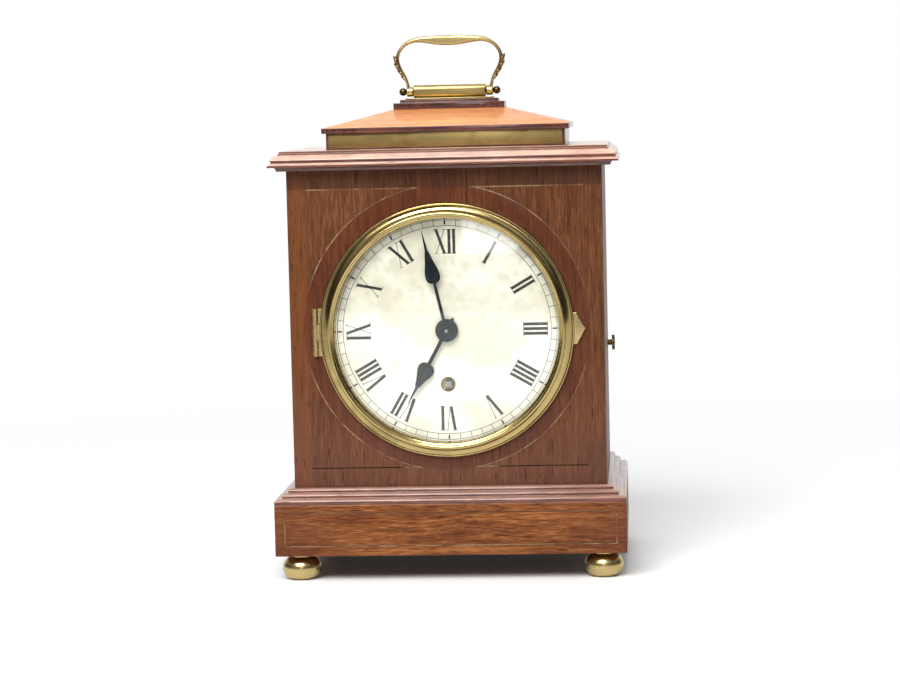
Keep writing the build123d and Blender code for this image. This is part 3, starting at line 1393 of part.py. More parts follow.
with BuildPart() as hour_hand:
    hour_hand_far = hour_hand_near + hour_hand_thickness
    extrude(spade(hour_hand_angle, hour_hand_far, 1.0, 21.0, (25.2, 4.6), [(30.5, 2.7), (35.5, 1.2),
                  (46.0, 0.2)], 46.5), amount=hour_hand_thickness)
    turn(dial_centre, (hour_hand_near, hour_hand_far, hour_boss_radius))
    tail_tilt = radians(hour_hand_angle + 180)
    with BuildSketch(Plane((0, hour_hand_far, dial_level), x_dir=(sin(tail_tilt), 0, cos(tail_tilt)),
                           z_dir=(0, -1, 0))) as hand_tail:
        with BuildLine():
            Polyline((hour_boss_radius - tail_root, -tail_half), (hour_boss_radius + tail_out, 0),
                     (hour_boss_radius - tail_root, tail_half), close=True)
        make_face()
    extrude(hand_tail.sketch, amount=hour_hand_thickness)
    bore(dial_centre, hour_hand_near, hour_hand_far, hour_pipe_radius)
hour_hand.part.label = "hour_hand"
export_step(hour_hand.part, "parts/hour_hand.step")

with BuildPart() as minute_hand:
    minute_hand_far = minute_hand_near + minute_hand_thickness
    extrude(spade(minute_hand_angle, minute_hand_far, 0.85, 26.8, (33.0, 3.9), [(38.8, 2.4),
                  (44.0, 1.2), (56.0, 0.15)], 56.6), amount=minute_hand_thickness)
    turn(dial_centre, (minute_hand_near, minute_hand_far, minute_boss_radius),
         (minute_hand_near - hand_collet_length, minute_hand_near, hand_collet_radius))
    bore(dial_centre, minute_hand_near - hand_collet_length, minute_hand_far, centre_arbor_radius)
    bore(dial_centre, cannon_front, minute_hand_far, pipe_radius)
minute_hand.part.label = "minute_hand"
export_step(minute_hand.part, "parts/minute_hand.step")


# Back door on two butt hinges, with the keeper that the latch finger goes behind
door_left, door_right = -half_inside + door_hinge_gap, half_inside - door_gap - 0.1
hinge_head, hinge_head_sink = 1.5, 0.5
with BuildPart() as back_door:
    block((door_left, door_right), (door_front, case_back), (door_bottom, door_top))
    door_hinge_bed(-door_hinge_gap, door_leaf_start + door_leaf_width)
    for point in door_screw_points(1):
        bore(point, case_back - screw_length, case_back, screw_radius)
back_door.part.label = "back_door"
export_step(back_door.part, "parts/back_door.step")


def door_hinge_half(side, thirds, bore_radius):
    """One side of both door hinges: leaves, and the given thirds of each knuckle."""
    leaf_ends = sorted((door_axis_x + side * door_leaf_start,
                        door_axis_x + side * (door_leaf_start + door_leaf_width)))
    web_ends = sorted((door_axis_x, door_axis_x + side * door_leaf_start))
    for level in door_hinge_levels:
        low = level - door_hinge_height / 2
        block(leaf_ends, (case_back - door_leaf, case_back), (low, low + door_hinge_height))
        for third in thirds:
            play = hinge_knuckle_gap if third == 1 else 0
            bottom = low + third * door_hinge_height / 3 + play
            top = low + (third + 1) * door_hinge_height / 3 - play
            block(web_ends, (case_back - door_leaf, case_back), (bottom, top))
            upright_bar(door_axis_x, door_axis_y, bottom, top, door_barrel_radius)
        upright_bar(door_axis_x, door_axis_y, low, low + door_hinge_height, bore_radius,
                    mode=Mode.SUBTRACT)
    for point in door_screw_points(side):
        bore(point, case_back - door_leaf, case_back, screw_radius)
        bore(point, case_back - hinge_head_sink, case_back, hinge_head)


def hinge_screw(point):
    """A screw through a door hinge leaf, flush with it."""
    turn(point, (case_back - screw_length, case_back - hinge_head_sink, screw_radius),
         (case_back - hinge_head_sink, case_back, hinge_head))


with BuildPart() as door_hinge_fixed_leaves:
    door_hinge_half(-1, (0, 2), door_pin_radius)
door_hinge_fixed_leaves.part.label = "door_hinge_fixed_leaves"
export_step(door_hinge_fixed_leaves.part, "parts/door_hinge_fixed_leaves.step")

with BuildPart() as door_hinge_moving_leaves:
    door_hinge_half(1, (1,), door_pin_radius + running)
door_hinge_moving_leaves.part.label = "door_hinge_moving_leaves"
export_step(door_hinge_moving_leaves.part, "parts/door_hinge_moving_leaves.step")

with BuildPart() as door_screws:
    for point in door_screw_points(1):
        hinge_screw(point)
door_screws.part.label = "door_screws"
export_step(door_screws.part, "parts/door_screws.step")

with BuildPart() as hinge_pins_and_screws:
    for level in door_hinge_levels:
        upright_bar(door_axis_x, door_axis_y, level - door_hinge_height / 2, level + door_hinge_height / 2,
                    door_pin_radius)
    for point in door_screw_points(-1):
        hinge_screw(point)
    upright_bar(hinge_x, hinge_y, dial_level - hinge_height / 2, dial_level + hinge_height / 2,
                hinge_pin_radius)
    for point in hinge_screw_points:
        turn(point, (case_front, case_front + screw_length, screw_radius))
hinge_pins_and_screws.part.label = "hinge_pins_and_screws"
export_step(hinge_pins_and_screws.part, "parts/hinge_pins_and_screws.step")


# Latch: a knob on the right side turns a finger that goes behind the keeper's lip
finger_length, finger_width, finger_thickness, finger_hub = 10.0, 3.2, 3.0, 3.0
finger_x = half_inside - 7.0
keeper_lip_gap = 0.6
lip_back = knob_y - finger_width / 2 - keeper_lip_gap
lip_thickness, lip_level, lip_height = 1.4, knob_level + 6.0, 3.5


def spindle(start, end, radius, mode=Mode.ADD):
    """A round bar along X on the latch axis."""
    with BuildSketch(Plane.YZ.offset(start)) as section:
        with Locations((knob_y, knob_level)):
            Circle(radius)
    extrude(section.sketch, amount=end - start, mode=mode)


with BuildPart() as side_knob:
    disc_start = half_case + knob_reach - knob_thickness
    spindle(finger_x, disc_start, knob_stem_radius)
    spindle(disc_start, half_case + knob_reach, knob_radius)
    fillet(side_knob.edges().filter_by(GeomType.CIRCLE).group_by(Axis.X)[-1], 0.6)
side_knob.part.label = "side_knob"
export_step(side_knob.part, "parts/side_knob.step")

with BuildPart() as latch_finger:
    spindle(finger_x, finger_x + finger_thickness, finger_hub)
    block((finger_x, finger_x + finger_thickness), (knob_y, knob_y + finger_length),
          (knob_level - finger_width / 2, knob_level + finger_width / 2))
    spindle(finger_x, finger_x + finger_thickness, knob_stem_radius, mode=Mode.SUBTRACT)
latch_finger.part.label = "latch_finger"
export_step(latch_finger.part, "parts/latch_finger.step")

keeper_left, keeper_right, keeper_thickness = finger_x - 8.5, finger_x + 1.5, 1.2
arm_left, arm_right = finger_x - 4.5, finger_x - 2.5
keeper_below, keeper_above = 4.0, 7.0        # keeper plate beyond its lip's lower edge
lip_past = 1.0                               # lip beyond the finger
with BuildPart() as latch_keeper:
    block((keeper_left, keeper_right), (door_front - keeper_thickness, door_front),
          (lip_level - keeper_below, lip_level + keeper_above))
    block((arm_left, arm_right), (lip_back - lip_thickness, door_front), (lip_level, lip_level + lip_height))
    block((arm_left, finger_x + finger_thickness + lip_past), (lip_back - lip_thickness, lip_back),
          (lip_level, lip_level + lip_height))
latch_keeper.part.label = "latch_keeper"
export_step(latch_keeper.part, "parts/latch_keeper.step")
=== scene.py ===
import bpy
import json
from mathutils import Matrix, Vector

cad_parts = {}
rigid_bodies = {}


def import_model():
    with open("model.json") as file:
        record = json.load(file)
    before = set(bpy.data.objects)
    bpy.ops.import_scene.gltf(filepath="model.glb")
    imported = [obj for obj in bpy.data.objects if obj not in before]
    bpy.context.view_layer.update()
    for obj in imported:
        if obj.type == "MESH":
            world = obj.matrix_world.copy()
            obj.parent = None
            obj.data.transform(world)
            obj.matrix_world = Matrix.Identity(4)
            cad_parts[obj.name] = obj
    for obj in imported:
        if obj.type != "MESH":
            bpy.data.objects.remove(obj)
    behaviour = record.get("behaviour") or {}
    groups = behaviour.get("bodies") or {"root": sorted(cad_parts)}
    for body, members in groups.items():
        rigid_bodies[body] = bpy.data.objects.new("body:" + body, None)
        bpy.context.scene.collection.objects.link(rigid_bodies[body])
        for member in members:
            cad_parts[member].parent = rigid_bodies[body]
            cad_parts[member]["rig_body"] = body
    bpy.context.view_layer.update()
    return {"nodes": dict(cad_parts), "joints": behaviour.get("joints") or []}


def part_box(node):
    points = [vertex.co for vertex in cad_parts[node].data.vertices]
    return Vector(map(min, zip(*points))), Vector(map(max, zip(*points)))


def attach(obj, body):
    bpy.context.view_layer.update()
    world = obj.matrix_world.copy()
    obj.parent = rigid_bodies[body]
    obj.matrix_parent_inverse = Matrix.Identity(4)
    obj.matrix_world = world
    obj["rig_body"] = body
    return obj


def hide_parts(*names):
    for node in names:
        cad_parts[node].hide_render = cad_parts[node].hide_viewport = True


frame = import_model()

import json
from math import cos, pi, radians, sin, sqrt

import bpy
from mathutils import Matrix, Vector


# Studio. The clock stands on a pale floor in a white room, and the camera looks from the front,
# a little above the dial and to the right, through a long lens. The lamps face the dial's middle.
mm = 0.001
camera_place = Vector((108.48, -1509.33, 263.24)) * mm
camera_pitch, camera_yaw, camera_roll = 0.0893, 0.0737, -0.0235
lens, sensor = 106.0, 36.0

forward = Vector((-sin(camera_yaw) * cos(camera_pitch), cos(camera_yaw) * cos(camera_pitch),
                  -sin(camera_pitch)))
level_right = Vector((cos(camera_yaw), sin(camera_yaw), 0))
level_up = level_right.cross(forward)
right = cos(camera_roll) * level_right + sin(camera_roll) * level_up
upward = cos(camera_roll) * level_up - sin(camera_roll) * level_right
camera = bpy.data.objects.new("camera", bpy.data.cameras.new("camera"))
camera.data.lens = lens
camera.data.sensor_width = sensor
camera.matrix_world = (Matrix.Translation(camera_place)
                       @ Matrix((right, upward, -forward)).transposed().to_4x4())
bpy.context.scene.collection.objects.link(camera)
bpy.context.scene.camera = camera
bpy.context.scene.view_settings.view_transform = "Standard"
dial_level = sum(corner.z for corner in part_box("bezel_ring")) / 2


def lamp(name, place, size, level):
    """A square soft lamp that faces the dial; at level 1 it shows a facing colour as it is written."""
    light = bpy.data.objects.new(name, bpy.data.lights.new(name, "AREA"))
    away = Vector(place) - Vector((0, 0, dial_level))
    light.data.size = size
    light.data.energy = level * pi ** 2 * away.length_squared
    light.location = place
    light.rotation_euler = away.to_track_quat("Z", "Y").to_euler()
    bpy.context.scene.collection.objects.link(light)


lamp("window", (-0.3, -1.3, 1.45), size=1.1, level=1.25)
lamp("ceiling_lamp", (0.15, 0.2, 1.7), size=1.1, level=0.12)
lamp("small_window", (0.11, -2.2, 0.58), size=0.33, level=0.035)


class Value:
    """A shader socket that can stand in a sum: each operator adds one Math node."""

    def __init__(self, finish, socket):
        self.finish, self.socket = finish, socket

    def maths(self, operation, *terms):
        return self.finish.node("ShaderNodeMath", {"operation": operation}, dict(enumerate(terms)))

    def __add__(self, other):
        return self.maths("ADD", self, other)

    def __radd__(self, other):
        return self.maths("ADD", other, self)

    def __sub__(self, other):
        return self.maths("SUBTRACT", self, other)

    def __rsub__(self, other):
        return self.maths("SUBTRACT", other, self)

    def __mul__(self, other):
        return self.maths("MULTIPLY", self, other)

    def __rmul__(self, other):
        return self.maths("MULTIPLY", other, self)

    def __pow__(self, other):
        return self.maths("POWER", self, other)

    def __abs__(self):
        return self.maths("ABSOLUTE", self)

    def __gt__(self, other):
        return self.maths("GREATER_THAN", self, other)

    def __lt__(self, other):
        return self.maths("LESS_THAN", self, other)

    def root(self):
        return self.maths("SQRT", self)

    def rise(self, low, high):
        """0 below low, 1 above high, and smooth between; high may be the lower of the two."""
        return self.finish.node("ShaderNodeMapRange", {"interpolation_type": "SMOOTHSTEP"},
                                {"Value": self, "From Min": low, "From Max": high})


class Finish:
    """The nodes of a material or of the world, and one method that adds any node to them."""

    def __init__(self, owner):
        owner.use_nodes = True
        self.owner, self.tree = owner, owner.node_tree
        self.place = self.node("ShaderNodeTexCoord", output="Object")

    def node(self, kind, settings=None, sockets=None, output=0):
        made = self.tree.nodes.new(kind)
        for name, value in (settings or {}).items():
            setattr(made, name, value)
        self.fill(made, sockets or {})
        return Value(self, made.outputs[output])

    def fill(self, made, sockets):
        for name, value in sockets.items():
            if isinstance(value, Value):
                self.tree.links.new(value.socket, made.inputs[name])
            else:
                made.inputs[name].default_value = value

    def shader(self, sockets):
        self.fill(self.tree.nodes["Principled BSDF"], sockets)

    def scaled(self, scale):
        return self.node("ShaderNodeMapping", None, {"Vector": self.place, "Scale": scale})

    def noise(self, place, scale, detail=3.0, distortion=0.0, roughness=0.5):
        return self.node("ShaderNodeTexNoise", None,
                         {"Vector": place, "Scale": scale, "Detail": detail, "Distortion": distortion,
                          "Roughness": roughness})

    def axes(self):
        return [self.node("ShaderNodeSeparateXYZ", None, {"Vector": self.place}, axis) for axis in range(3)]

    def blend(self, share, first, second):
        """A mix of two colours or vectors."""
        return self.node("ShaderNodeMix", {"data_type": "RGBA"}, {0: share, 6: first, 7: second}, 2)

    def bump(self, height, depth, strength):
        return self.node("ShaderNodeBump", None, {"Height": height, "Distance": depth, "Strength": strength})


def shade(red, green, blue):
    """A colour given in screen values from 0 to 255."""
    def linear(level):
        level /= 255
        return level / 12.92 if level <= 0.04045 else ((level + 0.055) / 1.055) ** 2.4
    return (linear(red), linear(green), linear(blue), 1.0)


# The room is white behind the clock and above it, and dimmer at the sides and behind the camera,
# so that brass and glass have something dark to mirror.
room = Finish(bpy.data.worlds.new("room"))
bpy.context.scene.world = room.owner
direction = room.node("ShaderNodeTexCoord", output="Generated")
backwards, skywards = [room.node("ShaderNodeSeparateXYZ", None, {"Vector": direction}, axis)
                       for axis in (1, 2)]
behind_clock = backwards.rise(0.35, 0.9)
overhead = skywards.rise(0.25, 0.8)
dim_level, wall_gain, ceiling_level = 0.05, 0.87, 0.7
room_level = dim_level + behind_clock * wall_gain
room_level = room_level + overhead * (ceiling_level - room_level)
seen, mirrored_there, seen_through = [room.node("ShaderNodeLightPath", output=ray) for ray in
                                      ("Is Camera Ray", "Is Glossy Ray", "Is Transmission Ray")]
shown = seen + seen_through + mirrored_there * behind_clock
backdrop = room.tree.nodes["Background"]
room.fill(backdrop, {"Color": (1, 1, 1, 1), "Strength": room_level + shown * (1.0 - room_level)})

bpy.ops.mesh.primitive_plane_add(size=8)
floor = bpy.context.object
floor.name = "floor"
pale = Finish(bpy.data.materials.new("pale_floor"))
east, north, _ = pale.axes()
far_away = (east * east + north * north).root().rise(0.3, 0.9)
camera_ray, glossy_ray, glass_ray = [pale.node("ShaderNodeLightPath", output=ray) for ray in
                                     ("Is Camera Ray", "Is Glossy Ray", "Is Transmission Ray")]
white = pale.node("ShaderNodeEmission", None, {"Color": (1, 1, 1, 1)})
pale.shader({"Base Color": (0.9, 0.9, 0.9, 1), "Roughness": 0.6, "Specular IOR Level": 0.2})
lit = Value(pale, pale.tree.nodes["Principled BSDF"].outputs[0])
seen_white = far_away * (camera_ray + glossy_ray + glass_ray)
surface = pale.node("ShaderNodeMixShader", None, {0: seen_white, 1: lit, 2: white})
pale.fill(pale.tree.nodes["Material Output"], {"Surface": surface})
floor.data.materials.append(pale.owner)


# Case. Mahogany boards glued up square, the front veneered with figured wood, and all of it polished.
# Each board is a copy of its solid, with the triangles joined and the arrises eased.
def wake(piece):
    """Select one piece alone."""
    bpy.ops.object.select_all(action="DESELECT")
    piece.select_set(True)
    bpy.context.view_layer.objects.active = piece


def joined_copy(node, ease=0.0, smooth=35):
    """A copy of a node's shape as closed faces, with its arrises rounded by ease millimetres."""
    piece = bpy.data.objects.new(f"finished_{node}", frame["nodes"][node].data.copy())
    bpy.context.scene.collection.objects.link(piece)
    piece.data.materials.clear()
    wake(piece)
    bpy.ops.mesh.customdata_custom_splitnormals_clear()
    bpy.ops.object.mode_set(mode="EDIT")
    bpy.ops.mesh.select_all(action="SELECT")
    bpy.ops.mesh.remove_doubles(threshold=1e-6)
    if ease:
        bpy.ops.mesh.dissolve_limited(angle_limit=radians(0.5))
    bpy.ops.object.mode_set(mode="OBJECT")
    if ease:
        rounding = piece.modifiers.new("ease", "BEVEL")
        rounding.width = ease * mm
        rounding.segments = 3
        rounding.limit_method = "ANGLE"
        rounding.angle_limit = radians(40)
        rounding.use_clamp_overlap = True
        bpy.ops.object.modifier_apply(modifier=rounding.name)
    bpy.ops.object.shade_smooth_by_angle(angle=radians(smooth))
    return piece


def settle(piece, finish, slot, body, *nodes):
    """Give a piece its finish and its body, and let it stand for the nodes named."""
    piece.data.materials.clear()
    piece.data.materials.append(finish.owner)
    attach(piece, body)
    if nodes:
        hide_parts(*nodes)


def finish_node(node, finish, slot, ease=0.0, smooth=35):
    """Put a finished copy in the node's place."""
    settle(joined_copy(node, ease, smooth), finish, slot, frame["nodes"][node]["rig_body"], node)


def wood_grain(finish, along, mitre=None):
    """Coordinates drawn out along the grain; at a mitre the grain turns from X to Y."""
    stretch = 12
    drawn = {"X": (1 / stretch, 1, 1), "Y": (1, 1 / stretch, 1), "Z": (1, 1, 1 / stretch)}
    if mitre is None:
        return finish.scaled(drawn[along])
    half_width, half_depth, middle = mitre
    x, y, _ = finish.axes()
    at_side = (abs(x) - half_width) > (abs(y - middle) - half_depth)
    return finish.blend(at_side, finish.scaled(drawn["X"]), finish.scaled(drawn["Y"]))


def mahogany(name, along, dark, middle, light, mitre=None, tint=None, gloss=0.34, pores=0.6, polish=0.05):
    """Polished mahogany: broad ribbons, finer streaks, fibres, and short dark open pores."""
    finish = Finish(bpy.data.materials.new(name))
    grain = wood_grain(finish, along, mitre)
    ribbons = finish.noise(grain, 90, 2.0, 0.5)
    streaks = finish.noise(grain, 560, 4.0, 0.5, 0.65)
    fibres = finish.noise(grain, 1500, 3.0, 0.3)
    open_pores = finish.noise(grain, 1250, 2.0, 0.4).rise(0.60, 0.72) * pores
    figure = (ribbons * 0.22 + streaks * 0.42 + fibres * 0.36).rise(0.36, 0.64)
    wood = finish.blend(figure.rise(0.0, 0.5), dark, middle)
    wood = finish.blend(figure.rise(0.5, 1.0), wood, light)
    if tint:
        wood = tint(finish, wood)
    pore_colour = tuple(part * 0.35 for part in dark[:3]) + (1.0,)
    wood = finish.blend(open_pores, wood, pore_colour)
    worn = finish.noise(finish.place, 45, 3.0)
    finish.shader({"Base Color": wood, "Roughness": gloss + worn * 0.12 + open_pores * 0.2,
                   "Specular IOR Level": 0.05 + 0.5 * polish, "Coat Weight": (1 - open_pores * 0.8) * polish,
                   "Coat Roughness": 0.08,
                   "Normal": finish.bump(figure * 0.25 - open_pores, 0.05 * mm, 0.35)})
    return finish


half_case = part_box("front_panel")[1].x
panel_low, panel_high = [corner.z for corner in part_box("front_panel")]
panel_middle = (panel_low + panel_high) / 2
plinth_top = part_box("plinth_front")[1].z
inlay_half_height = 77.3 * mm
inlay_radius = 78.5 * mm
veneer_joint, joint_half_width = 12.7 * mm, 0.25 * mm
veneer_border = 10.2 * mm - half_case
bezel_radius = (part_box("bezel_ring")[1].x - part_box("bezel_ring")[0].x) / 2


def front_tint_and_painted_light(finish, wood):
    """The veneer is redder inside the round line of stringing, and browner in the strip at the top. Painted
    light: the left border is lighter and oranger, the right side darker as painted shade, and the lower part
    paler and pinker as a painted reflection of the floor.
    """
    x, _, z = finish.axes()
    out = (x * x + (z - panel_middle) * (z - panel_middle)).root()
    redder = out.rise(inlay_radius + 1.2 * mm, inlay_radius - 0.6 * mm)
    top_strip = (z - panel_middle).rise(inlay_half_height - 1.0 * mm, inlay_half_height + 1.0 * mm)
    patch = finish.noise(finish.place, 22, 2.0)
    # Browner-grey in the top strip and in random patches; painted shade darkens the right side.
    grey_and_painted_shade = (top_strip * 0.85 + patch.rise(0.5, 0.75) * 0.45 + x.rise(0.02, 0.09) * 0.35).rise(0.0, 1.2)
    # Painted light: only the border on the left is made lighter and oranger.
    painted_light_left = x.rise(veneer_border + 2 * mm, veneer_border - 2 * mm)
    # Painted reflection of the floor: paler and pinker towards the bottom.
    painted_floor_reflection = z.rise(dial_level, panel_low)
    wood = finish.blend(painted_light_left * 0.5, wood, shade(109, 62, 31))
    wood = finish.blend(redder * 0.45, wood, shade(75, 32, 21))
    wood = finish.blend(grey_and_painted_shade * 0.6, wood, shade(58, 36, 26))
    wood = finish.blend(painted_floor_reflection * 0.3, wood, shade(113, 78, 68))
    joint = (abs(x - veneer_joint) < joint_half_width) * (z > dial_level + bezel_radius)
    return finish.blend(joint * 0.8, wood, shade(30, 14, 9))


def plinth_tint_and_sheen(finish, wood):
    """The plinth's ends are darker and redder than its middle, and its top arris carries a pale painted
    highlight.
    """
    x, _, z = finish.axes()
    ends = abs(x).rise(0.045, 0.1)
    # Painted highlight: a pale band along the top arris.
    rubbed_and_sheen = z.rise(plinth_top - 0.9 * mm, plinth_top - 0.2 * mm)
    wood = finish.blend(ends * 0.55, wood, shade(88, 47, 34))
    return finish.blend(rubbed_and_sheen * 0.4, wood, shade(170, 124, 98))


deep, warm, bright = shade(73, 40, 22), shade(92, 54, 31), shade(109, 69, 41)
front_wood_painted_light = mahogany("mahogany_front_painted_light", "Z", deep, warm, bright, tint=front_tint_and_painted_light)
upright_wood = mahogany("mahogany_upright", "Z", deep, warm, bright)
floor_wood = mahogany("mahogany_boards", "X", deep, warm, bright, gloss=0.45)
plinth_wood_and_sheen = mahogany("mahogany_plinth", "X", shade(79, 41, 23), shade(117, 68, 36), shade(153, 98, 55),
                       tint=plinth_tint_and_sheen)
plinth_side_wood = mahogany("mahogany_plinth_sides", "Y", deep, warm, bright)
finish_node("front_panel", front_wood_painted_light, "mahogany", ease=0.5)
for side in ("side_panel_left", "side_panel_right", "back_door"):
    finish_node(side, upright_wood, "mahogany", ease=0.5)
finish_node("case_bottom_board", floor_wood, "mahogany", ease=0.3)
finish_node("plinth_front", plinth_wood_and_sheen, "mahogany", ease=0.5)
finish_node("plinth_back", floor_wood, "mahogany", ease=0.5)
finish_node("plinth_sides", plinth_side_wood, "mahogany", ease=0.5)


# Stringing. Boxwood lines glued into grooves and levelled with the veneer; polish and dirt have
# dulled them. The uprights hardly show, and the lowest lines are lost, with dirt in their grooves.
upright_inset, plinth_line_inset = 10.9 * mm, 6 * mm


def boxwood():
    """Dull straw-brown wood, browner still where dirt lies, and nearly black where a line is lost."""
    finish = Finish(bpy.data.materials.new("boxwood"))
    x, _, z = finish.axes()
    dirt = finish.noise(finish.place, 90, 3.0).rise(0.40, 0.62)
    fine = finish.noise(finish.place, 900, 2.0)
    on_case = z > panel_low
    upright = (abs(x) > half_case - upright_inset) * on_case
    dull = upright + (z > plinth_top - plinth_line_inset) * (1 - on_case) * 0.7
    lost = (z < panel_middle - inlay_half_height + 0.6 * mm) * on_case * abs(x).rise(0.022, 0.030)
    line = finish.blend(fine.rise(0.3, 0.7), shade(112, 88, 66), shade(148, 122, 96))
    line = finish.blend(dirt * 0.8, line, shade(84, 52, 34))
    line = finish.blend(dull * 0.9, line, shade(92, 54, 31))
    finish.shader({"Base Color": finish.blend(lost * 0.95, line, shade(26, 14, 10)),
                   "Roughness": 0.5 + dirt * 0.15, "Specular IOR Level": 0.06})
    return finish


finish_node("stringing", boxwood(), "boxwood")


# Mouldings. Mahogany strips run with a plane, mitred at the corners and glued on; their rounds that
# face up carry a painted highlight in lilac-grey lines, and their undersides carry painted shade.
def moulding_painted_light(finish, wood):
    """Rounds that face up get a pale painted highlight, less on the base moulding, and undersides get painted
    shade.
    """
    patchy_sheen = finish.noise(finish.place, 60, 3.0).rise(0.3, 0.75)
    facing = finish.node("ShaderNodeNewGeometry", output="Normal")
    upwards = finish.node("ShaderNodeSeparateXYZ", None, {"Vector": facing}, 2)
    height = finish.axes()[2]
    # Painted highlight: rounds that face up are made pale in patches, less so on the base moulding.
    rubbed_and_sheen = (0.62 + patchy_sheen * 0.33) * (1 - (height < panel_middle) * 0.62)
    wood = finish.blend(upwards.rise(0.05, 0.65) * rubbed_and_sheen, wood, shade(220, 178, 157))
    # Painted shade: undersides are darkened.
    return finish.blend(upwards.rise(-0.1, -0.6) * 0.7, wood, shade(46, 24, 18))


case_front, case_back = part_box("front_panel")[0].y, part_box("side_panel_left")[1].y
case_middle = (case_front + case_back) / 2
mitre_lines = (half_case, (case_back - case_front) / 2, case_middle)
moulding_wood_painted_light = mahogany("mahogany_mouldings_painted_light", "X", shade(68, 33, 22), shade(98, 51, 35), shade(124, 73, 53),
                         mitre=mitre_lines, tint=moulding_painted_light, gloss=0.26, polish=0.6)
for moulding in ("base_moulding", "cornice"):
    finish_node(moulding, moulding_wood_painted_light, "mahogany", ease=0.25, smooth=50)


# Top of the case. The frieze and its brass strip carry a low hipped roof of satin veneer whose bright
# colour is a painted sheen, with a dark thumb-moulded eave below it and a stepped block above.
top_wood = mahogany("mahogany_top", "X", shade(48, 20, 15), shade(78, 36, 27), shade(108, 56, 42),
                    mitre=(0, 0, case_middle), gloss=0.24, polish=0.6)
for block in ("frieze_block", "roof_eave", "top_plinth"):
    finish_node(block, top_wood, "mahogany", ease=0.3)
roof_low, roof_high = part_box("roof")
roof_mitre = (roof_high.x, (roof_high.y - roof_low.y) / 2, case_middle)
# Painted highlight: the roof's colours are set far paler than the wood, standing in for the light's sheen on
# its slopes.
roof_painted_sheen = mahogany("roof_veneer", "X", shade(190, 118, 68), shade(220, 146, 90), shade(234, 164, 110),
                     mitre=roof_mitre, gloss=0.3, pores=0.3, polish=0.25)
finish_node("roof", roof_painted_sheen, "roof_veneer", ease=0.2)


# Brass. Cast or drawn, filed and polished, then lacquered; it has gone olive and brown where
# fingers and polish don't reach.
def brass(name, bright, dull, tarnish=0.45, roughness=0.22, turned=None):
    """Polished brass; turned is the centre of rings left by the lathe, in X and Z."""
    finish = Finish(bpy.data.materials.new(name))
    stain = finish.noise(finish.place, 55, 5.0, 0.4).rise(0.45, 0.75) * tarnish
    specks = finish.noise(finish.place, 300, 3.0).rise(0.62, 0.85) * tarnish
    if turned:
        x, _, z = finish.axes()
        across = x - turned[0]
        level = z - turned[1]
        out = (across * across + level * level).root()
        scratches = finish.noise(finish.node("ShaderNodeCombineXYZ", None, {0: out}), 3200, 2.0)
    else:
        scratches = finish.noise(finish.scaled((1 / 14, 1, 1)), 900, 2.0)
    finish.shader({"Base Color": finish.blend(stain * 0.75 + specks * 0.15, bright, dull), "Metallic": 1.0,
                   "Roughness": roughness + stain * 0.25 + scratches * 0.08,
                   "Normal": finish.bump(scratches - specks, 0.01 * mm, 0.1)})
    return finish


def overlay(finish, share, colour):
    """Lay a colour over a finish, as far as share says."""
    base = finish.tree.nodes["Principled BSDF"].inputs["Base Color"]
    finish.shader({"Base Color": finish.blend(share, Value(finish, base.links[0].from_socket), colour)})


bright_brass, dull_brass = shade(192, 172, 120), shade(104, 86, 50)
fittings_brass = brass("brass_fittings", bright_brass, dull_brass)
strip_brass = brass("brass_strip", shade(172, 150, 96), shade(104, 82, 46), tarnish=0.9, roughness=0.26)
spun_brass = brass("brass_bezel", shade(176, 156, 104), shade(84, 66, 36), tarnish=0.6, roughness=0.1,
                   turned=(0, dial_level))
block_brass = brass("brass_block", shade(172, 150, 98), shade(108, 88, 50), tarnish=0.5, roughness=0.28)
bail_brass_painted_shade = brass("brass_bail_painted_shade", shade(194, 172, 118), shade(92, 68, 40), tarnish=0.9, roughness=0.24)
finish_node("frieze_band", strip_brass, "brass", ease=0.1)
finish_node("bun_feet", fittings_brass, "brass", smooth=60)
finish_node("handle_base", block_brass, "brass", ease=0.25)
finish_node("bezel_tab", fittings_brass, "brass", ease=0.15)
for leaf in ("case_hinge_leaf", "bezel_hinge_leaf", "door_hinge_fixed_leaves", "door_hinge_moving_leaves",
             "hinge_pins_and_screws", "latch_keeper"):
    finish_node(leaf, fittings_brass, "brass", smooth=40)
finish_node("door_screws", fittings_brass, "brass", smooth=40)


# Handle. A cast bail: flat arms with an acanthus leaf on the outside of each, a swelling grip,
# and eyes that turn on two ball-headed pivots. The route's points are the distance from the middle,
# the height over the pivots, both in millimetres, and the thickness of the section there.
pivot_level = (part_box("handle_pivots")[0].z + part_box("handle_pivots")[1].z) / 2
bail_route = ((0, 28.7, 2.9), (6.5, 28.9, 2.7), (13.0, 29.4, 2.0), (19.5, 29.4, 1.35), (25.0, 27.2, 1.0),
              (28.7, 23.0, 1.0), (29.9, 18.2, 1.0), (28.4, 13.2, 1.1), (26.0, 9.4, 1.05), (24.4, 6.2, 0.85),
              (23.6, 2.2, 1.0))
bail_half_width = 2.35 * mm
leaf_lobes = ((30.3, 17.8, 3.1, 8), (29.5, 14.2, 2.9, 24), (27.6, 10.7, 2.6, 34), (25.9, 7.6, 2.1, 38))
eye_centre, eye_half_length, eye_radius, pivot_hole = 22.7 * mm, 1.95 * mm, 2.75 * mm, 1.35 * mm


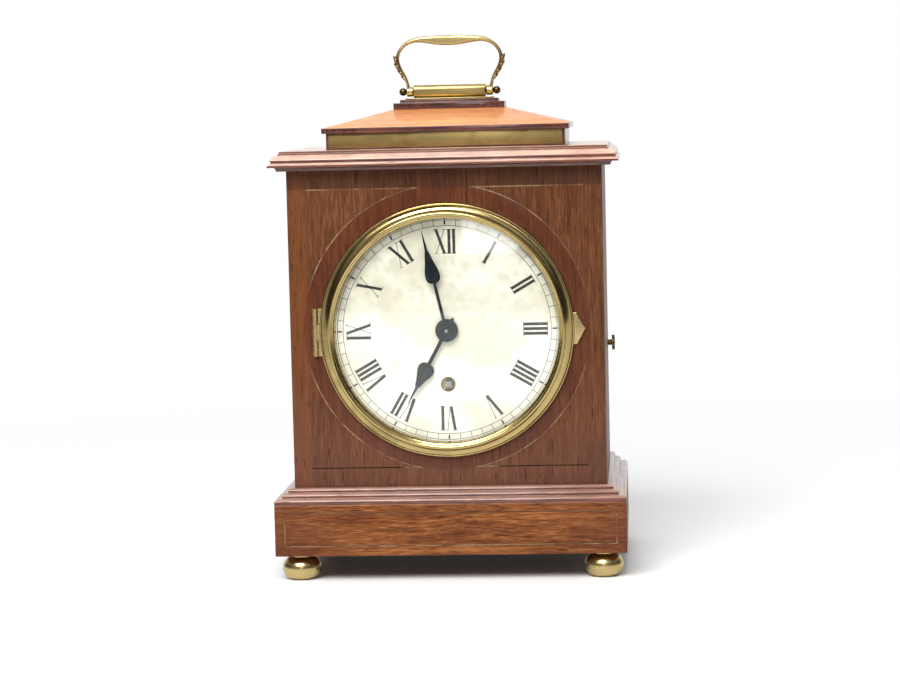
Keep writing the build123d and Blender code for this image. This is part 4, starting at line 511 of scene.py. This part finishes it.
def bail():
    """A flat oval section swept over the route, thicker at the grip."""
    sides, flatness, squareness = 24, 2.2, 1.25
    section = bpy.data.objects.new("bail_section", bpy.data.curves.new("bail_section", "CURVE"))
    oval = section.data.splines.new("POLY")
    oval.points.add(sides - 1)
    for index, point in enumerate(oval.points):
        turn = 2 * pi * index / sides
        point.co = (cos(turn) * mm, sin(turn) * flatness * mm, 0, 1)
    oval.use_cyclic_u = True
    bpy.context.scene.collection.objects.link(section)
    route = bpy.data.curves.new("bail", "CURVE")
    route.dimensions = "2D"
    route.bevel_mode, route.bevel_object = "OBJECT", section
    route.use_fill_caps = True
    line = route.splines.new("NURBS")
    points = [(-x, z, r) for x, z, r in bail_route[:0:-1]] + list(bail_route)
    line.points.add(len(points) - 1)
    for point, (x, z, thickness) in zip(line.points, points):
        point.co = (x * mm, z * mm, 0, 1)
        point.radius = thickness
    line.order_u = 3
    line.use_endpoint_u = True
    line.resolution_u = 8
    piece = bpy.data.objects.new("bail", route)
    bpy.context.scene.collection.objects.link(piece)
    wake(piece)
    bpy.ops.object.convert(target="MESH")
    piece.data.transform(Matrix.Translation((0, case_middle, pivot_level)) @ Matrix.Rotation(pi / 2, 4, "X"))
    for vertex in piece.data.vertices:
        out = (vertex.co.y - case_middle) / bail_half_width
        vertex.co.y = case_middle + bail_half_width * out / sqrt(1 + (out / squareness) ** 4) ** 0.5
    bpy.data.objects.remove(section)
    return piece


def leaf_lobe(place, size, lean):
    """One lobe of the acanthus: a rounded scale whose upper tip turns outwards."""
    thickness, curl, taper = 0.42, 0.35, 0.55
    vein_depth, vein_half_width = 0.18, 0.25
    bpy.ops.mesh.primitive_uv_sphere_add(segments=20, ring_count=12, radius=1, location=(0, 0, 0))
    piece = bpy.context.object
    piece.name = "leaf_lobe"
    for vertex in piece.data.vertices:
        x, y, z = vertex.co
        tip = max(z, 0) ** 2
        vein = vein_depth * max(0, 1 - abs(y) / vein_half_width)
        vertex.co = ((x - vein * (x > 0)) * thickness + curl * tip, y * (1 - taper * tip), z)
    away = 1 if place[0] > 0 else -1
    piece.data.transform(Matrix.Translation((place[0] * mm, case_middle, pivot_level + place[1] * mm))
                         @ Matrix.Diagonal((away, 1, 1, 1)) @ Matrix.Rotation(radians(lean), 4, "Y")
                         @ Matrix.Scale(size * mm, 4))
    return piece


def spun(name, corners, centre, axis, steps):
    """A closed profile, given by its corners in order, spun all the way round an axis."""
    mesh = bpy.data.meshes.new(name)
    mesh.from_pydata(corners, [(i, (i + 1) % len(corners)) for i in range(len(corners))], [])
    piece = bpy.data.objects.new(name, mesh)
    bpy.context.scene.collection.objects.link(piece)
    wake(piece)
    bpy.ops.object.mode_set(mode="EDIT")
    bpy.ops.mesh.select_all(action="SELECT")
    bpy.ops.mesh.spin(steps=steps, angle=2 * pi, center=centre, axis=axis)
    bpy.ops.mesh.select_all(action="SELECT")
    bpy.ops.mesh.remove_doubles(threshold=1e-7)
    bpy.ops.mesh.normals_make_consistent(inside=False)
    bpy.ops.object.mode_set(mode="OBJECT")
    bpy.ops.object.shade_smooth_by_angle(angle=radians(32))
    return piece


def bail_eye(side):
    """The boss at the foot of an arm, drilled for its pivot, its rims rounded."""
    ease = 0.5 * mm
    inner, outer = eye_centre - eye_half_length, eye_centre + eye_half_length
    section = [(inner, pivot_hole), (inner, eye_radius - ease), (inner + ease, eye_radius),
               (outer - ease, eye_radius), (outer, eye_radius - ease), (outer, pivot_hole)]
    return spun("bail_eye", [(side * x, case_middle, pivot_level + radius) for x, radius in section],
                (0, case_middle, pivot_level), (1, 0, 0), 40)


def join(pieces):
    """Join pieces into the first of them."""
    wake(pieces[0])
    for piece in pieces:
        piece.select_set(True)
    bpy.ops.object.join()


handle_parts = [bail()] + [bail_eye(side) for side in (-1, 1)]
for side in (-1, 1):
    for x, rise, size, lean in leaf_lobes:
        handle_parts.append(leaf_lobe((side * x, rise), size, lean))
join(handle_parts)
bpy.ops.object.shade_smooth_by_angle(angle=radians(50))
# Painted shade: the brass of the acanthus leaves is darkened in its colour.
x, _, z = bail_brass_painted_shade.axes()
painted_leaf_shade = abs(x).rise(24.5 * mm, 28 * mm) * z.rise(pivot_level + 24 * mm, pivot_level + 19 * mm)
overlay(bail_brass_painted_shade, painted_leaf_shade * 0.6, shade(80, 60, 40))
settle(handle_parts[0], bail_brass_painted_shade, "brass", "handle", "handle")


# Dark metal. The pivot balls, the latch knob and its shaft are brass left to go brown.
def bronzed():
    finish = Finish(bpy.data.materials.new("bronzed_brass"))
    rubbed_and_sheen = finish.noise(finish.place, 300, 4.0).rise(0.45, 0.8)
    colour = finish.blend(rubbed_and_sheen, shade(78, 62, 40), shade(138, 112, 72))
    finish.shader({"Base Color": colour, "Metallic": 1.0, "Roughness": 0.24 + rubbed_and_sheen * 0.12})
    return finish


dark_metal = bronzed()
finish_node("handle_pivots", dark_metal, "dark_bronze", smooth=60)
finish_node("side_knob", dark_metal, "dark_bronze", smooth=40)


# Bezel. A ring spun from thick brass: a thin lip against the veneer, a hollow, a round crest, and a
# rebate that holds the glass, with a plain sloping sight ring behind it.
def arc(centre, radius, first, last, steps=8):
    """Points of a profile's round part, from one angle to another in degrees."""
    turns = [radians(first + (last - first) * step / steps) for step in range(steps + 1)]
    return [(centre[0] + radius * cos(turn), centre[1] + radius * sin(turn)) for turn in turns]


def turned_piece(name, profile, steps=200):
    """A closed profile of (radius, height proud of the panel) in millimetres, spun round the dial."""
    return spun(name, [(radius * mm, case_front - proud * mm, dial_level) for radius, proud in profile],
                (0, 0, dial_level), (0, 1, 0), steps)


bezel_edge = bezel_radius / mm
lip, lip_proud = 1.1, 2.4
crest_radius, crest_proud, crest_round = 64.2, 8.0, 1.35
sight, rebate, bezel_back = 62.1, 63.45, 0.3
glass_front_edge = 5.3
hollow_radius = 3.75
slope_inner, slope_foot, slope_proud, ring_fit = 61.9, 61.2, 3.55, 0.05
lip_round = arc((bezel_edge - lip / 2, lip_proud - lip / 2), lip / 2, 0, 180)
hollow = arc((bezel_edge - lip - 0.4, crest_proud - crest_round - 0.6), hollow_radius, -86, -172, 10)
crest = arc((crest_radius, crest_proud - crest_round), crest_round, 0, 180, 14)
bezel_profile = ([(rebate, bezel_back), (bezel_edge, bezel_back)] + lip_round
                 + [point for point in hollow if crest_radius + crest_round < point[0] < bezel_edge - lip]
                 + crest + [(sight, crest_proud - crest_round - 0.3), (sight, glass_front_edge + 0.1),
                            (rebate, glass_front_edge)])
settle(turned_piece("bezel", bezel_profile), spun_brass, "brass", "bezel", "bezel_ring")
slope_profile = [(slope_inner, slope_proud), (slope_foot, bezel_back), (rebate - ring_fit, bezel_back),
                 (rebate - ring_fit, slope_proud)]
settle(turned_piece("glass_retaining_ring", slope_profile), spun_brass, "brass", "bezel", "sight_ring")


# Dial. A brass disc, silvered and lacquered, with numerals and a minute track cut in and filled
# with black wax.
def silvering_with_painted_shade():
    finish = Finish(bpy.data.materials.new("silvered_dial_painted_shade"))
    clouds = finish.noise(finish.place, 38, 4.0, 0.3)
    stains = finish.noise(finish.place, 130, 4.0).rise(0.58, 0.8)
    grain = finish.noise(finish.place, 1500, 2.0)
    mottle = finish.noise(finish.place, 160, 5.0, 0.4).rise(0.4, 0.65)
    # Painted shade: the upper part of the dial is greyed, broken up by the mottle.
    painted_upper_shade = finish.axes()[2].rise(dial_level - 12 * mm, dial_level + 30 * mm)
    silver = finish.blend(clouds.rise(0.35, 0.65), shade(224, 219, 200), shade(251, 249, 235))
    silver = finish.blend(painted_upper_shade * (0.25 + mottle * 0.35), silver, shade(192, 186, 164))
    silver = finish.blend(stains * 0.25, silver, shade(188, 170, 142))
    finish.shader({"Base Color": silver, "Metallic": 0.05, "Roughness": 0.4 + grain * 0.1,
                   "Normal": finish.bump(grain, 0.01 * mm, 0.3)})
    return finish


finish_node("dial_plate", silvering_with_painted_shade(), "silvered_brass", smooth=30)
dial_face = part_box("dial_plate")[0].y

numeral_inner, numeral_outer = 42.2 * mm, 55.4 * mm
thick_stroke, thin_stroke, serif_height = 1.65 * mm, 0.34 * mm, 0.32 * mm
serif_reach = 0.6 * mm
letter_widths = {"I": 1.65 * mm, "V": 5.8 * mm, "X": 6.2 * mm}
letter_gap = 0.95 * mm
wax_proud, wax_deep = 0.03 * mm, 0.05 * mm


def start_letter(name):
    """An empty piece, open for its strokes."""
    piece = bpy.data.objects.new(name, bpy.data.meshes.new(name))
    bpy.context.scene.collection.objects.link(piece)
    wake(piece)
    bpy.ops.object.mode_set(mode="EDIT")
    return piece


def stroke(foot, head, low, high, width):
    """A stroke from foot to head along X, between two levels, its ends cut level."""
    depth = wax_proud + wax_deep
    bpy.ops.mesh.primitive_cube_add(size=1, location=(foot, depth / 2 - wax_proud, (low + high) / 2),
                                    scale=(width, depth, high - low))
    mesh = bpy.context.object.data
    bpy.ops.object.mode_set(mode="OBJECT")
    for part in (*mesh.edges, *mesh.polygons):
        part.select = False
    for vertex in mesh.vertices[-8:]:
        vertex.select = vertex.co.z > (low + high) / 2
    bpy.ops.object.mode_set(mode="EDIT")
    bpy.ops.transform.translate(value=(head - foot, 0, 0))
    bpy.ops.mesh.select_all(action="DESELECT")


def serif(x, level, width):
    """A hairline across the end of a stroke."""
    stroke(x, x, level - serif_height / 2, level + serif_height / 2, width + 2 * serif_reach)


def placed_copy(source, name, place):
    """A copy with its own mesh, moved by a matrix."""
    copy = bpy.data.objects.new(name, source.data.copy())
    bpy.context.scene.collection.objects.link(copy)
    copy.data.transform(place)
    return copy


height = numeral_outer - numeral_inner
letters = {}
for letter, width in letter_widths.items():
    piece = start_letter(f"letter_{letter}")
    reach = (width - thick_stroke) / 2
    if letter == "I":
        stroke(0, 0, 0, height, thick_stroke)
        serif(0, 0, thick_stroke)
        serif(0, height, thick_stroke)
    if letter == "V":
        stroke(0, -reach, 0, height, thick_stroke)
        stroke(0.3 * thick_stroke, reach, 0, height, thin_stroke)
        serif(-reach, height, thick_stroke)
        serif(reach, height, thin_stroke)
    if letter == "X":
        stroke(reach, -reach, 0, height, thick_stroke)
        stroke(-reach, reach, 0, height, thin_stroke)
        for x, thickness in ((reach, thick_stroke), (-reach, thin_stroke)):
            serif(x, 0, thickness)
            serif(-x, height, thickness)
    bpy.ops.object.mode_set(mode="OBJECT")
    letters[letter] = piece

numerals = ["I", "II", "III", "IIII", "V", "VI", "VII", "VIII", "IX", "X", "XI", "XII"]
wax = Finish(bpy.data.materials.new("black_wax"))
worn_wax = wax.noise(wax.place, 500, 3.0)
wax.shader({"Base Color": wax.blend(worn_wax.rise(0.5, 0.85), shade(34, 34, 32), shade(84, 82, 76)),
            "Roughness": 0.4 + worn_wax * 0.2})
for hour, numeral in enumerate(numerals, start=1):
    placed = []
    across = -(sum(letter_widths[letter] for letter in numeral) + letter_gap * (len(numeral) - 1)) / 2
    for letter in numeral:
        turned = (Matrix.Translation((0, dial_face, dial_level)) @ Matrix.Rotation(radians(30 * hour), 4, "Y")
                  @ Matrix.Translation((across + letter_widths[letter] / 2, 0, numeral_inner)))
        placed.append(placed_copy(letters[letter], f"numeral_{hour}", turned))
        across += letter_widths[letter] + letter_gap
    join(placed)
    settle(placed[0], wax, "silvered_brass", "root")
for piece in letters.values():
    bpy.data.objects.remove(piece)

track_inner, track_outer = 57.4 * mm, 60.6 * mm
track_line, five_line = 0.3 * mm, 0.95 * mm


def flat_ring(radius, name):
    """A line cut round the dial and filled with wax."""
    inner, outer = (radius - track_line / 2) / mm, (radius + track_line / 2) / mm
    back = (case_front - dial_face) / mm
    front = back + wax_proud / mm
    return turned_piece(name, [(inner, back), (outer, back), (outer, front), (inner, front)], 240)


rings = [flat_ring(track_inner, "minute_track"), flat_ring(track_outer, "outer_line")]
mark = start_letter("mark")
stroke(0, 0, track_inner, track_outer, track_line)
bpy.ops.object.mode_set(mode="OBJECT")
five = start_letter("five")
stroke(0, 0, track_inner + 0.6 * mm, track_outer - 0.2 * mm, five_line)
bpy.ops.object.mode_set(mode="OBJECT")
marks = []
for minute in range(60):
    source = five if minute % 5 == 0 else mark
    turned = Matrix.Translation((0, dial_face, dial_level)) @ Matrix.Rotation(radians(6 * minute), 4, "Y")
    marks.append(placed_copy(source, "minute_mark", turned))
join(rings + marks)
settle(rings[0], wax, "silvered_brass", "root")
bpy.data.objects.remove(mark)
bpy.data.objects.remove(five)


# Hands. Cut from sheet steel, filed to a spade, and blued by heat until nearly black.
def blued_steel():
    finish = Finish(bpy.data.materials.new("blued_steel"))
    heat = finish.noise(finish.place, 160, 3.0)
    finish.shader({"Base Color": finish.blend(heat.rise(0.35, 0.7), shade(22, 30, 32), shade(46, 58, 60)),
                   "Metallic": 0.7, "Roughness": 0.28 + heat * 0.12})
    return finish


blued = blued_steel()
for hand in ("hour_hand", "minute_hand"):
    finish_node(hand, blued, "blued_steel", ease=0.12)


# Glass. A thin dome blown clear, held in the bezel by the sight ring. It mirrors little when seen
# face on, and more towards its edge.
face_on = 0.04
clear = Finish(bpy.data.materials.new("clear_glass"))
through = clear.node("ShaderNodeBsdfTransparent", None, {"Color": (0.995, 1, 0.995, 1)})
mirrored = clear.node("ShaderNodeBsdfGlossy", None, {"Color": (1, 1, 1, 1), "Roughness": 0.05})
facing = clear.node("ShaderNodeLayerWeight", None, {"Blend": 0.5}, "Facing")
sheen = face_on + facing ** 5 * (1 - face_on)
surface = clear.node("ShaderNodeMixShader", None, {0: sheen, 1: through, 2: mirrored})
clear.fill(clear.tree.nodes["Material Output"], {"Surface": surface})
clear.tree.nodes.remove(clear.tree.nodes["Principled BSDF"])
finish_node("glass", clear, "glass", smooth=60)


# Movement. Brass plates and wheels on steel arbors, a steel mainspring in its barrel, and a small
# platform with lever, balance and hairspring.
def steel():
    finish = Finish(bpy.data.materials.new("steel"))
    marks = finish.noise(finish.place, 600, 3.0)
    finish.shader({"Base Color": finish.blend(marks, shade(150, 152, 156), shade(190, 192, 196)),
                   "Metallic": 1.0, "Roughness": 0.25 + marks * 0.15})
    return finish


steel_parts = steel()
plate_brass = brass("brass_plates", shade(222, 192, 120), shade(150, 118, 66), tarnish=0.5, roughness=0.26)
for part in ("front_plate", "back_plate", "pillars", "movement_lugs", "barrel", "barrel_cover", "platform",
             "balance_cock"):
    finish_node(part, plate_brass, "brass", ease=0.08, smooth=40)
for part in ("mainspring", "barrel_arbor", "ratchet_wheel", "click", "movement_screws", "lever",
             "cannon_pinion", "latch_finger"):
    finish_node(part, steel_parts, "steel", smooth=40)
finish_node("hairspring", blued, "blued_steel", smooth=40)


def wheel_on_arbor(name, centre, axis, steel_radius):
    """Brass wheel with a steel arbor and pinion inside the given radius of its axis."""
    finish = brass(name, shade(226, 198, 126), shade(160, 128, 72), tarnish=0.25, roughness=0.22)
    x, y, z = finish.axes()
    across = x - centre[0]
    along = (z - centre[2]) if axis == "Y" else (y - centre[1])
    core = ((across * across + along * along).root() < steel_radius * mm)
    overlay(finish, core, shade(168, 170, 174))
    return finish


wheels = {"intermediate_wheel": ("intermediate_turn", "Y", 4.2), "centre_wheel": ("minute_turn", "Y", 3.4),
          "third_wheel": ("third_turn", "Y", 2.3), "contrate_wheel": ("contrate_turn", "Y", 2.2),
          "escape_wheel": ("escape_turn", "Z", 1.6), "balance": ("balance_swing", "Z", 1.2),
          "minute_wheel": ("motion_turn", "Y", 3.2), "hour_wheel": ("hour_turn", "Y", 0.1)}
turning = {joint["name"]: joint["pos_m"] for joint in frame["joints"]}
for wheel, (joint, axis, radius) in wheels.items():
    finish_node(wheel, wheel_on_arbor(f"{wheel}_brass", turning[joint], axis, radius), "brass", smooth=40)
